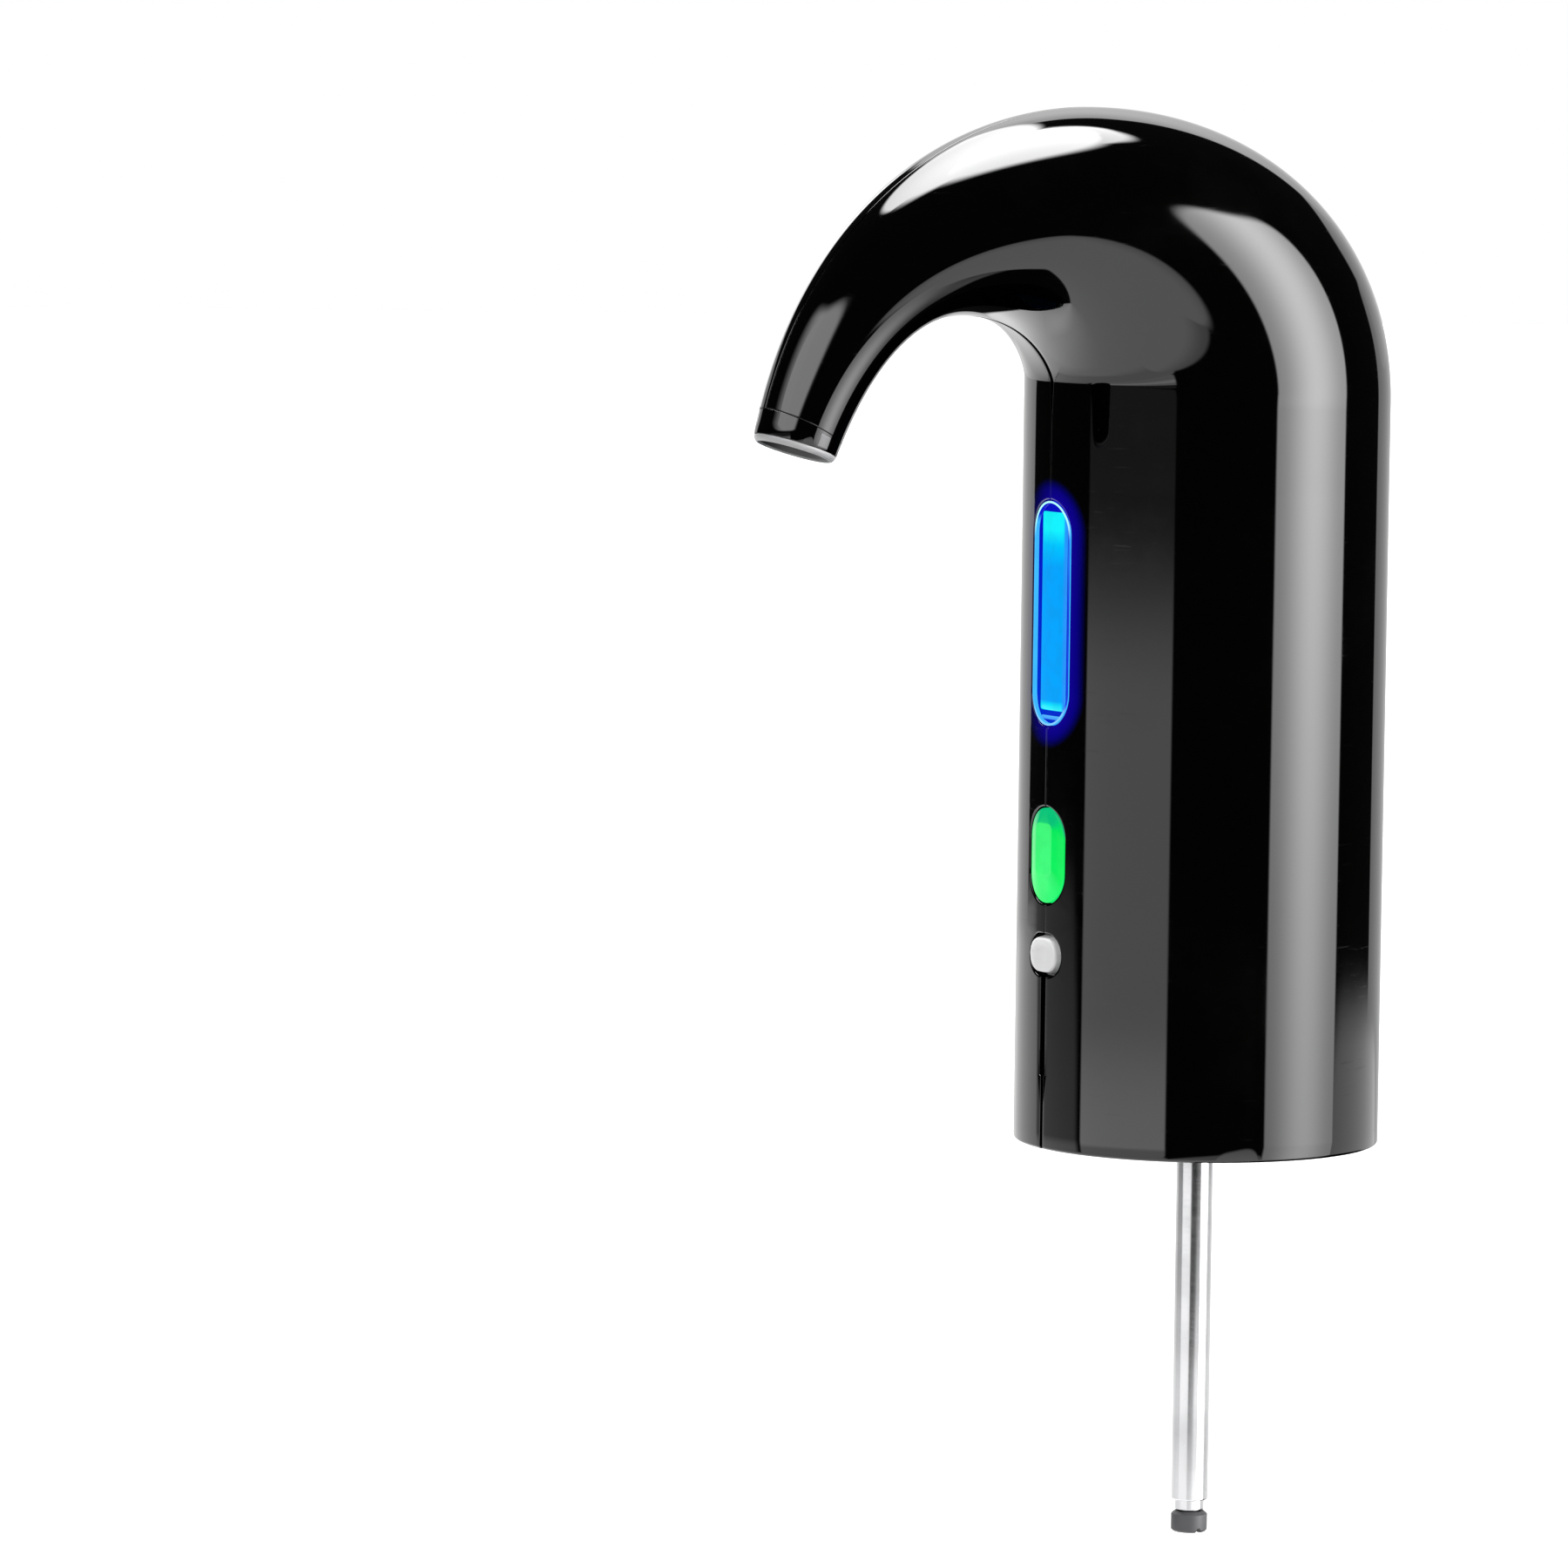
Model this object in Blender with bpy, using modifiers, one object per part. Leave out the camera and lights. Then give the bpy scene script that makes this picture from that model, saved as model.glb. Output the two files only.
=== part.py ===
"""Electric wine aerator that stands on a bottle's neck and pours from a gooseneck spout.

The origin lies on the body's axis in the plane where the bottle's lip seats. +Z is up, the spout
and the controls face -Y, and the casing parts in two halves at X = 0. All lengths are in metres.
"""

import math

import bmesh
import bpy
import numpy as np
from mathutils import Matrix, Vector

# Casing, with heights measured up from the base rim and reaches measured forward from the axis
BODY_RADIUS = 0.035
CASING_WALL = 0.0022
SKIRT_DEPTH = 0.028
RIM_ROUND = 0.0006
BACK_SHOULDER = 0.1424
FRONT_SHOULDER = 0.1460
DOME_HEIGHT = 0.1978
DOME_FORWARD = 0.0276
ARCH_HEIGHT = 0.1587
ARCH_FORWARD = 0.0559
TIP_HEIGHT = 0.1348
TIP_FORWARD = 0.0909
TIP_RADIUS = 0.0080
TIP_SLOPE = math.radians(72)
OUTER_TIP_SLOPE = math.radians(77.7)
INNER_TIP_SLOPE = math.radians(68)
BACK_HANDLE = 0.0308
DOME_BACK_HANDLE = 0.0385
DOME_FRONT_HANDLE = 0.0289
OUTER_TIP_HANDLE = 0.0404
CREASE_HANDLE = 0.0010
ARCH_BACK_HANDLE = 0.0168
INNER_TIP_HANDLE = 0.0200
COLLAR_LENGTH = 0.0035
COLLAR_BORE_RADIUS = 0.0050
SEAM_GAP = 0.0003
GROOVE_WIDTH = 0.0012
GROOVE_DEPTH = 0.0008
GROOVE_LOW = 0.0130
BACK_STEPS = 11
SPOUT_STEPS = 12
SPOUT_SAMPLES = 201
HALF_STEPS = 18
SHARP_ANGLE = math.radians(35)

# Clearances and overruns that serve every piece
GAP = 0.0003
SLIDE_GAP = 0.0002
BITE = 0.0004
OVERRUN = 0.003
WELD_DISTANCE = 0.00001

# Controls, with levels measured up from the base rim
WINDOW_LEVEL = 0.1022
WINDOW_HEIGHT = 0.0426
WINDOW_WIDTH = 0.0125
POUR_LEVEL = 0.0562
POUR_HEIGHT = 0.0181
POUR_WIDTH = 0.0116
POUR_PROUD = 0.0002
POUR_TRAVEL = 0.0010
POWER_LEVEL = 0.0372
POWER_HEIGHT = 0.0076
POWER_WIDTH = 0.0102
POWER_PROUD = 0.0007
POWER_TRAVEL = 0.0008
FLANGE_MARGIN = 0.0012
FLANGE_THICKNESS = 0.0016
POST_RADIUS = 0.0015

# Bottle socket and bottom cover
SOCKET_RADIUS = 0.0165
SOCKET_WALL = 0.0018
COVER_RECESS = 0.0015
COVER_THICKNESS = 0.0022
GASKET_THICKNESS = 0.0020
GASKET_INNER_RADIUS = 0.0108
GASKET_OUTER_RADIUS = 0.0160

# Wine hub, stopper and dip tube
STEM_RADIUS = 0.0056
STEM_LENGTH = 0.0140
HUB_FLANGE_RADIUS = 0.0120
HUB_FLANGE_THICKNESS = 0.0020
BARB_RADIUS = 0.0026
BARB_BORE_RADIUS = 0.0016
BARB_LENGTH = 0.0090
AIR_BARB_RADIUS = 0.0014
AIR_BARB_PLACE = 0.0055
AIR_BORE_RADIUS = 0.0006
STOPPER_RADIUS = 0.0088
STOPPER_TIP_RADIUS = 0.0078
STOPPER_LENGTH = 0.0240
RIB_HEIGHT = 0.0014
RIB_COUNT = 4
SCREW_SIDES = 8
PILL_STEPS = 8
TUBE_WALL = 0.0005
OUTER_TUBE_RADIUS = 0.0035
OUTER_TUBE_LENGTH = 0.0980
TUBE_STEP = 0.0020
FOOT_LENGTH = 0.0040
FOOT_SLOT_WIDTH = 0.0010

# Screws and the bosses that take them
BOSS_RADIUS = 0.0045
BOSS_BITE = 0.0008
BOSS_REAR_ANGLE = math.radians(70)
BOSS_FRONT_ANGLE = math.radians(-40)
SCREW_RADIUS = 0.0012
SCREW_LENGTH = 0.0080
SCREW_HEAD_RADIUS = 0.0026
SCREW_HEAD_HEIGHT = 0.0014
SCREW_RECESS_RADIUS = 0.0008
SCREW_CLEARANCE = 0.0003

# Chassis that carries the pump, the cell and the boards
DECK_THICKNESS = 0.0022
CRADLE_WALL = 0.0016
CRADLE_HEIGHT = 0.0100
MAST_DEPTH = 0.0110
MAST_CLEARANCE = 0.0009
MAST_HEIGHT = 0.0700
BACKING_WALL = 0.0018
BACKING_HEIGHT = 0.0600
STANDOFF_RADIUS = 0.0015
STANDOFF_HEIGHT = 0.0027

# Pump
MOTOR_CLEARANCE = 0.0088
MOTOR_LENGTH = 0.0300
MOTOR_ANGLE = math.radians(150)
MOTOR_MARGIN = 0.0018
SHAFT_RADIUS = 0.0010
SHAFT_BELOW = 0.0060
SHAFT_ABOVE = 0.0050
PUMP_LIP = 0.0015
PUMP_WALL = 0.0015
PUMP_HEIGHT = 0.0120
ECCENTRIC_RADIUS = 0.0050
ECCENTRIC_THICKNESS = 0.0028
CRANK_OFFSET = 0.0028
CRANK_RADIUS = 0.0009
CRANK_HEIGHT = 0.0012
WOBBLE_CLEARANCE = 0.0020
WOBBLE_THICKNESS = 0.0014
DIAPHRAGM_THICKNESS = 0.0012
VALVE_HEAD_HEIGHT = 0.0060
OUTLET_LENGTH = 0.0050
CLAMP_HEIGHT = 0.0050
CLAMP_WALL = 0.0014
CLAMP_LEVEL_SHARE = 0.85
EAR_THICKNESS = 0.0017

# Cell
CELL_CLEARANCE = 0.0144
CELL_LENGTH = 0.0650
CELL_ANGLE = math.radians(30)
CELL_MARGIN = 0.0050
CELL_BUTTON_RADIUS = 0.0030
CELL_BUTTON_HEIGHT = 0.0010
CELL_CLIP_SHARE = 0.75

# Boards, switches and lights
BOARD_SETBACK = 0.0116
BOARD_THICKNESS = 0.0016
BOARD_WIDTH = 0.0260
BOARD_HEAD_MARGIN = 0.0025
SWITCH_SIDE = 0.0060
SWITCH_DEPTH = 0.0035
ACTUATOR_RADIUS = 0.0017
ACTUATOR_SEAT = 0.0010
LIGHT_GUIDE_WIDTH = 0.0086
LIGHT_GUIDE_HEIGHT = 0.0380
LIGHT_GUIDE_DEPTH = 0.0036
REFLECTOR_WALL = 0.0022
LAMP_WIDTH = 0.0032
LAMP_HEIGHT = 0.0028
LAMP_DEPTH = 0.0018
LAMP_COUNT = 3
CHARGE_BOARD_CLEARANCE = 0.0168
CHARGE_BOARD_DEPTH = 0.0095
CHARGE_BOARD_THICKNESS = 0.0012
PORT_WIDTH = 0.0090
PORT_HEIGHT = 0.0034
PORT_DEPTH = 0.0090
PORT_SKIN = 0.0005
PORT_RECESS = 0.0008

# Hoses, nozzle and leads
RISER_RADIUS = 0.0025
RISER_FORWARD = 0.0080
NOZZLE_WALL = 0.0012
NOZZLE_LENGTH = 0.0140
NOZZLE_RECESS = 0.0015
INSERT_LENGTH = 0.0080
INSERT_CORE_RADIUS = 0.0009
INSERT_FIN_THICKNESS = 0.0006
AIR_HOSE_RADIUS = 0.0018
VALVE_RADIUS = 0.0040
VALVE_LENGTH = 0.0140
VALVE_SIDE = 0.0080
VALVE_CLEARANCE = 0.0034
VALVE_FOOT = 0.0400
LEAD_RADIUS = 0.0006
LEAD_BEND = 0.0050

# Levels and places that follow from the sizes above
RIM_Z = -SKIRT_DEPTH
INNER_RADIUS = BODY_RADIUS - CASING_WALL
ARCH_FRONT_HANDLE = ARCH_BACK_HANDLE * DOME_FRONT_HANDLE / DOME_BACK_HANDLE
CEILING_Z = GASKET_THICKNESS + GAP
CEILING_TOP = CEILING_Z + COVER_THICKNESS
COVER_Z = RIM_Z + COVER_RECESS
COVER_TOP = COVER_Z + COVER_THICKNESS
SOCKET_OUTER_RADIUS = SOCKET_RADIUS + SOCKET_WALL
HUB_FLANGE_Z = CEILING_TOP + GAP
HUB_FLANGE_TOP = HUB_FLANGE_Z + HUB_FLANGE_THICKNESS
BARB_TOP = HUB_FLANGE_TOP + BARB_LENGTH
DECK_Z = HUB_FLANGE_TOP + GAP
DECK_TOP = DECK_Z + DECK_THICKNESS
BOSS_Z = COVER_TOP + GAP
BOSS_TOP = DECK_Z - GAP
BOSS_CIRCLE = INNER_RADIUS - BOSS_RADIUS + BOSS_BITE
MOTOR_RADIUS = (INNER_RADIUS - MOTOR_CLEARANCE) / 2
PUMP_RADIUS = MOTOR_RADIUS + PUMP_LIP
WOBBLE_RADIUS = PUMP_RADIUS - PUMP_WALL - WOBBLE_CLEARANCE
MOTOR_CIRCLE = INNER_RADIUS - PUMP_RADIUS - MOTOR_MARGIN
MOTOR_X = MOTOR_CIRCLE * math.cos(MOTOR_ANGLE)
MOTOR_Y = MOTOR_CIRCLE * math.sin(MOTOR_ANGLE)
MOTOR_Z = DECK_TOP + GAP
MOTOR_TOP = MOTOR_Z + MOTOR_LENGTH
PUMP_Z = MOTOR_TOP + GAP
PUMP_TOP = PUMP_Z + PUMP_HEIGHT
DIAPHRAGM_Z = PUMP_TOP + GAP
VALVE_HEAD_Z = DIAPHRAGM_Z + DIAPHRAGM_THICKNESS + GAP
VALVE_HEAD_TOP = VALVE_HEAD_Z + VALVE_HEAD_HEIGHT
OUTLET_TOP = VALVE_HEAD_TOP + OUTLET_LENGTH
MOTOR_CRADLE_RADIUS = MOTOR_RADIUS + GAP + CRADLE_WALL
CELL_RADIUS = (INNER_RADIUS - CELL_CLEARANCE) / 2
CELL_CIRCLE = INNER_RADIUS - CELL_RADIUS - CELL_MARGIN
CELL_X = CELL_CIRCLE * math.cos(CELL_ANGLE)
CELL_Y = CELL_CIRCLE * math.sin(CELL_ANGLE)
CELL_Z = DECK_TOP + GAP
CELL_TOP = CELL_Z + CELL_LENGTH
CELL_CRADLE_RADIUS = CELL_RADIUS + GAP + CRADLE_WALL
MAST_LEFT = MOTOR_X + MOTOR_CRADLE_RADIUS + GAP
MAST_RIGHT = CELL_X - CELL_CRADLE_RADIUS - GAP
MAST_FRONT = BARB_RADIUS + MAST_CLEARANCE
BOARD_FOOT = CEILING_TOP + GAP
BOARD_HEAD = WINDOW_LEVEL + WINDOW_HEIGHT / 2 + RIM_Z + BOARD_HEAD_MARGIN
BOARD_BACK_Y = BOARD_SETBACK - INNER_RADIUS
BOARD_FRONT_Y = BOARD_BACK_Y - BOARD_THICKNESS
SWITCH_FRONT_Y = BOARD_FRONT_Y - GAP - SWITCH_DEPTH
FLANGE_RADIUS = INNER_RADIUS - BITE
FLANGE_BACK_Y = -math.hypot(FLANGE_RADIUS, WINDOW_WIDTH / 2) + FLANGE_THICKNESS
OUTER_TUBE_TOP = HUB_FLANGE_TOP - GAP
MIDDLE_TUBE_RADIUS = OUTER_TUBE_RADIUS - TUBE_WALL - SLIDE_GAP
INNER_TUBE_RADIUS = MIDDLE_TUBE_RADIUS - TUBE_WALL - SLIDE_GAP
MIDDLE_TUBE_TOP = OUTER_TUBE_TOP - TUBE_STEP
INNER_TUBE_TOP = MIDDLE_TUBE_TOP
MIDDLE_TUBE_Z = -OUTER_TUBE_LENGTH - TUBE_STEP
INNER_TUBE_Z = MIDDLE_TUBE_Z - TUBE_STEP
CHARGE_BOARD_WIDTH = INNER_RADIUS - CHARGE_BOARD_CLEARANCE
CHARGE_BOARD_Y = math.sqrt(INNER_RADIUS**2 - (CHARGE_BOARD_WIDTH / 2) ** 2) - GAP - CHARGE_BOARD_DEPTH
CHARGE_BOARD_Z = DECK_TOP + STANDOFF_HEIGHT + GAP
PORT_Z = CHARGE_BOARD_Z + CHARGE_BOARD_THICKNESS + GAP
PORT_MOUTH_Y = BODY_RADIUS - PORT_RECESS
VALVE_FORWARD = -BOARD_BACK_Y - BACKING_WALL - VALVE_RADIUS - VALVE_CLEARANCE

# Finishes: colour, roughness, metallic
FINISHES = {
    "black_gloss": ((0.006, 0.006, 0.007), 0.08, 0.0),
    "black_satin": ((0.012, 0.012, 0.013), 0.45, 0.0),
    "collar_grey": ((0.35, 0.35, 0.36), 0.25, 0.0),
    "blue_lens": ((0.01, 0.25, 0.85), 0.10, 0.0),
    "clear_guide": ((0.30, 0.75, 0.95), 0.15, 0.0),
    "green_lens": ((0.02, 0.80, 0.20), 0.15, 0.0),
    "white_plastic": ((0.80, 0.80, 0.80), 0.30, 0.0),
    "silicone_grey": ((0.10, 0.10, 0.11), 0.60, 0.0),
    "silicone_clear": ((0.75, 0.78, 0.80), 0.35, 0.0),
    "stainless": ((0.62, 0.62, 0.63), 0.22, 1.0),
    "zinc_steel": ((0.50, 0.50, 0.52), 0.35, 1.0),
    "brass": ((0.72, 0.52, 0.22), 0.35, 1.0),
    "natural_abs": ((0.62, 0.60, 0.54), 0.50, 0.0),
    "rubber": ((0.03, 0.03, 0.03), 0.75, 0.0),
    "circuit_board": ((0.02, 0.20, 0.08), 0.40, 0.0),
    "cell_wrap": ((0.05, 0.20, 0.45), 0.35, 0.0),
    "lead_red": ((0.55, 0.02, 0.02), 0.45, 0.0),
    "lead_black": ((0.02, 0.02, 0.02), 0.45, 0.0),
}


def clear_scene():
    """Removes what a new scene holds, so that only the aerator is left."""
    for thing in list(bpy.data.objects):
        bpy.data.objects.remove(thing)


def make_collection(name):
    """A collection linked to the scene."""
    made = bpy.data.collections.new(name)
    bpy.context.scene.collection.children.link(made)
    return made


def finish_material(slot):
    """The material of a finish, made once."""
    if slot in bpy.data.materials:
        return bpy.data.materials[slot]
    colour, roughness, metallic = FINISHES[slot]
    material = bpy.data.materials.new(slot)
    material.use_nodes = True
    shader = material.node_tree.nodes["Principled BSDF"]
    shader.inputs["Base Color"].default_value = (*colour, 1.0)
    shader.inputs["Roughness"].default_value = roughness
    shader.inputs["Metallic"].default_value = metallic
    return material


def keep(piece, slot):
    """Puts a finished piece in the aerator's collection, with its own copy of a finish."""
    for holder in list(piece.users_collection):
        holder.objects.unlink(piece)
    bpy.data.collections["electric_wine_aerator"].objects.link(piece)
    material = finish_material(slot).copy()
    material.name = piece.name
    piece.data.materials.clear()
    piece.data.materials.append(material)
    return piece


def as_tool(piece):
    """Makes a piece a helper for cuts and joins, which isn't rendered."""
    for holder in list(piece.users_collection):
        holder.objects.unlink(piece)
    bpy.data.collections["cutters"].objects.link(piece)
    piece.hide_render = True
    piece.display_type = "WIRE"
    return piece


def combine(piece, tool, operation):
    """Cuts, joins or intersects a piece with a tool."""
    modifier = piece.modifiers.new(f"{operation.lower()}_{tool.name}", "BOOLEAN")
    modifier.operation = operation
    modifier.solver = "EXACT"
    modifier.object = as_tool(tool)
    return piece


def object_from(name, bm):
    """An object from a bmesh, linked to the scene, smooth on its round faces."""
    bmesh.ops.recalc_face_normals(bm, faces=bm.faces)
    mesh = bpy.data.meshes.new(name)
    bm.to_mesh(mesh)
    bm.free()
    mesh.shade_smooth()
    mesh.set_sharp_from_angle(angle=SHARP_ANGLE)
    piece = bpy.data.objects.new(name, mesh)
    bpy.context.scene.collection.objects.link(piece)
    return piece


def box(name, low, high):
    """A box between two corners."""
    bm = bmesh.new()
    bmesh.ops.create_cube(bm, size=1.0)
    size = Vector(high) - Vector(low)
    middle = (Vector(high) + Vector(low)) / 2
    bmesh.ops.transform(bm, matrix=Matrix.Translation(middle) @ Matrix.Diagonal((*size, 1.0)), verts=bm.verts)
    return object_from(name, bm)


def rod(name, radius, start, end, sides=16):
    """A cylinder from one point to another."""
    start, end = Vector(start), Vector(end)
    along = end - start
    bm = bmesh.new()
    bmesh.ops.create_cone(
        bm, cap_ends=True, segments=sides, radius1=radius, radius2=radius, depth=along.length
    )
    turn = Vector((0, 0, 1)).rotation_difference(along).to_matrix().to_4x4()
    bmesh.ops.transform(bm, matrix=Matrix.Translation((start + end) / 2) @ turn, verts=bm.verts)
    return object_from(name, bm)


def turned(name, outline, place=(0, 0, 0), sides=24):
    """A turned piece: its outline, as (radius, height), runs down outside and up inside."""
    mesh = bpy.data.meshes.new(name)
    closed = outline[0][0] > 0
    count = len(outline)
    edges = [(i, i + 1) for i in range(count - 1)] + ([(count - 1, 0)] if closed else [])
    mesh.from_pydata([(radius, 0, height) for radius, height in outline], edges, [])
    piece = bpy.data.objects.new(name, mesh)
    bpy.context.scene.collection.objects.link(piece)
    piece.location = place
    screw = piece.modifiers.new("turn", "SCREW")
    screw.steps = sides
    screw.render_steps = sides
    screw.use_merge_vertices = True
    screw.merge_threshold = WELD_DISTANCE
    screw.use_smooth_shade = False
    return piece


def ring(name, inner, outer, low, high, place=(0, 0, 0), sides=24):
    """A plain ring between two radii and two heights."""
    return turned(name, [(outer, high), (outer, low), (inner, low), (inner, high)], place, sides)


def pill_prism(name, width, height, level, y_from, y_to):
    """A prism along Y whose outline is a slot with round ends, upright or lying."""
    radius = min(width, height) / 2
    reach = abs(height - width) / 2
    upright = height >= width
    corners = []
    for turn in range(2 * PILL_STEPS + 2):
        side = 1 if turn <= PILL_STEPS else -1
        angle = math.pi * (turn - (0 if side > 0 else 1)) / PILL_STEPS
        across = radius * math.cos(angle)
        along = radius * math.sin(angle) + side * reach
        corners.append((across, along) if upright else (along, across))
    bm = bmesh.new()
    outline = bm.faces.new([bm.verts.new((x, y_from, level + z)) for x, z in corners])
    grown = bmesh.ops.extrude_face_region(bm, geom=[outline])
    moved = [item for item in grown["geom"] if isinstance(item, bmesh.types.BMVert)]
    bmesh.ops.translate(bm, vec=(0, y_to - y_from, 0), verts=moved)
    return object_from(name, bm)


def smooth_route(points, steps=3):
    """Points on a smooth curve through a route's own points, timed by the length of its chords."""
    route = [np.array(point, float) for point in points]
    padded = [2 * route[0] - route[1], *route, 2 * route[-1] - route[-2]]
    found = []
    for before, start, end, after in zip(padded, padded[1:], padded[2:], padded[3:]):
        chord = np.linalg.norm(end - start)
        leave = (end - before) / (chord + np.linalg.norm(start - before)) * chord
        arrive = (after - start) / (chord + np.linalg.norm(after - end)) * chord
        for step in range(steps):
            t = step / steps
            ease = t * t * (3 - 2 * t)
            bend = leave * t * (1 - t) ** 2 - arrive * t * t * (1 - t)
            found.append(start + (end - start) * ease + bend)
    return [*found, route[-1]]


def hose(name, points, radius, slot, resolution=2):
    """A round hose or lead along a route."""
    curve = bpy.data.curves.new(name, "CURVE")
    curve.dimensions = "3D"
    curve.bevel_depth = radius
    curve.bevel_resolution = resolution
    curve.use_fill_caps = True
    spline = curve.splines.new("POLY")
    route = smooth_route(points)
    spline.points.add(len(route) - 1)
    for knot, point in zip(spline.points, route):
        knot.co = (*point, 1.0)
    piece = bpy.data.objects.new(name, curve)
    bpy.context.scene.collection.objects.link(piece)
    return keep(piece, slot)


# The casing's rails, in the plane X = 0, as (forward, up from the rim)


def bezier(points, share):
    """A point on a cubic curve with two end points and two handles."""
    start, first, second, end = points
    rest = 1 - share
    return (
        rest**3 * start + 3 * rest**2 * share * first + 3 * rest * share**2 * second + share**3 * end
    )


def downward(slope):
    """The unit direction that runs forward and down at a slope below the horizon."""
    return np.array([math.cos(slope), -math.sin(slope)])


def rail_curves():
    """The cubic spans of the outer and the inner rail: rim to dome top, and dome top to tip."""
    across = np.array([math.sin(TIP_SLOPE), math.cos(TIP_SLOPE)]) * TIP_RADIUS
    tip = np.array([TIP_FORWARD, TIP_HEIGHT])
    back = np.array([-BODY_RADIUS, BACK_SHOULDER])
    front = np.array([BODY_RADIUS, FRONT_SHOULDER])
    dome = np.array([DOME_FORWARD, DOME_HEIGHT])
    arch = np.array([ARCH_FORWARD, ARCH_HEIGHT])
    up = np.array([0.0, 1.0])
    ahead = np.array([1.0, 0.0])
    outer_tip = tip + across
    inner_tip = tip - across
    outer = (
        (back, back + up * BACK_HANDLE, dome - ahead * DOME_BACK_HANDLE, dome),
        (
            dome,
            dome + ahead * DOME_FRONT_HANDLE,
            outer_tip - downward(OUTER_TIP_SLOPE) * OUTER_TIP_HANDLE,
            outer_tip,
        ),
    )
    inner = (
        (front, front + up * CREASE_HANDLE, arch - ahead * ARCH_BACK_HANDLE, arch),
        (
            arch,
            arch + ahead * ARCH_FRONT_HANDLE,
            inner_tip - downward(INNER_TIP_SLOPE) * INNER_TIP_HANDLE,
            inner_tip,
        ),
    )
    return outer, inner


def section(span, share):
    """A casing section: its centre, the unit direction to its inner rail, and its radius."""
    outer, inner = rail_curves()
    high = bezier(outer[span], share)
    low = bezier(inner[span], share)
    radius = np.linalg.norm(low - high) / 2
    return (high + low) / 2, (low - high) / (2 * radius), radius


def spout_share(distance):
    """The share of the spout's span that lies this far back from the tip along its middle."""
    shares = np.linspace(1, 0, SPOUT_SAMPLES)
    middles = np.array([section(1, share)[0] for share in shares])
    run = np.concatenate([[0], np.cumsum(np.linalg.norm(np.diff(middles, axis=0), axis=1))])
    return float(np.interp(distance, run, shares))


def spine(distance):
    """The point on the casing's middle line this far back from the tip, in the part's own axes."""
    middle = section(1, spout_share(distance))[0]
    return (0.0, -middle[0], middle[1] + RIM_Z)


def section_points(middle, toward, radius, angles, side):
    """Points around a section, which start at the inner rail."""
    forward = middle[0] + np.cos(angles) * toward[0] * radius
    up = middle[1] + np.cos(angles) * toward[1] * radius
    across = np.maximum(np.sin(angles) * radius, SEAM_GAP / 2) * side if side else np.sin(angles) * radius
    return [Vector((x, -y, z + RIM_Z)) for x, y, z in zip(across, forward, up)]


def loft_walls(name, sections, side=0):
    """A walled loft through (middle, toward, outer radius, inner radius), a half if side is given."""
    count = HALF_STEPS + 1 if side else 2 * HALF_STEPS
    angles = np.linspace(0, math.pi, count) if side else np.arange(count) * math.pi / HALF_STEPS
    bm = bmesh.new()
    walls = []
    for which in (2, 3):
        walls.append(
            [
                [bm.verts.new(p) for p in section_points(one[0], one[1], one[which], angles, side)]
                for one in sections
            ]
        )
    steps = count - 1 if side else count
    last = len(sections) - 1
    for wall in walls:
        for row in range(last):
            for i in range(steps):
                j = (i + 1) % count
                bm.faces.new((wall[row][i], wall[row][j], wall[row + 1][j], wall[row + 1][i]))
    outer, inner = walls
    for row in (0, last):
        for i in range(steps):
            j = (i + 1) % count
            bm.faces.new((outer[row][i], outer[row][j], inner[row][j], inner[row][i]))
    if side:
        for i in (0, count - 1):
            for row in range(last):
                bm.faces.new((outer[row][i], outer[row + 1][i], inner[row + 1][i], inner[row][i]))
    return object_from(name, bm)


def casing_sections():
    """The sections of the casing from its rim to the collar, with outer and inner radii."""
    flat = np.array([1.0, 0.0])
    found = [
        (np.array([0.0, 0.0]), flat, BODY_RADIUS - RIM_ROUND, INNER_RADIUS),
        (np.array([0.0, RIM_ROUND]), flat, BODY_RADIUS, INNER_RADIUS),
    ]
    end = spout_share(COLLAR_LENGTH + GAP)
    for share in np.linspace(0, 1, BACK_STEPS, endpoint=False):
        middle, toward, radius = section(0, share)
        found.append((middle, toward, radius, radius - CASING_WALL))
    for share in np.linspace(0, end, SPOUT_STEPS + 1):
        middle, toward, radius = section(1, share)
        found.append((middle, toward, radius, radius - CASING_WALL))
    return found


def boss_places(side):
    """The two screw bosses inside one half of the casing, as (x, y)."""
    return [
        (side * BOSS_CIRCLE * math.cos(angle), BOSS_CIRCLE * math.sin(angle))
        for angle in (BOSS_FRONT_ANGLE, BOSS_REAR_ANGLE)
    ]


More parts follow.
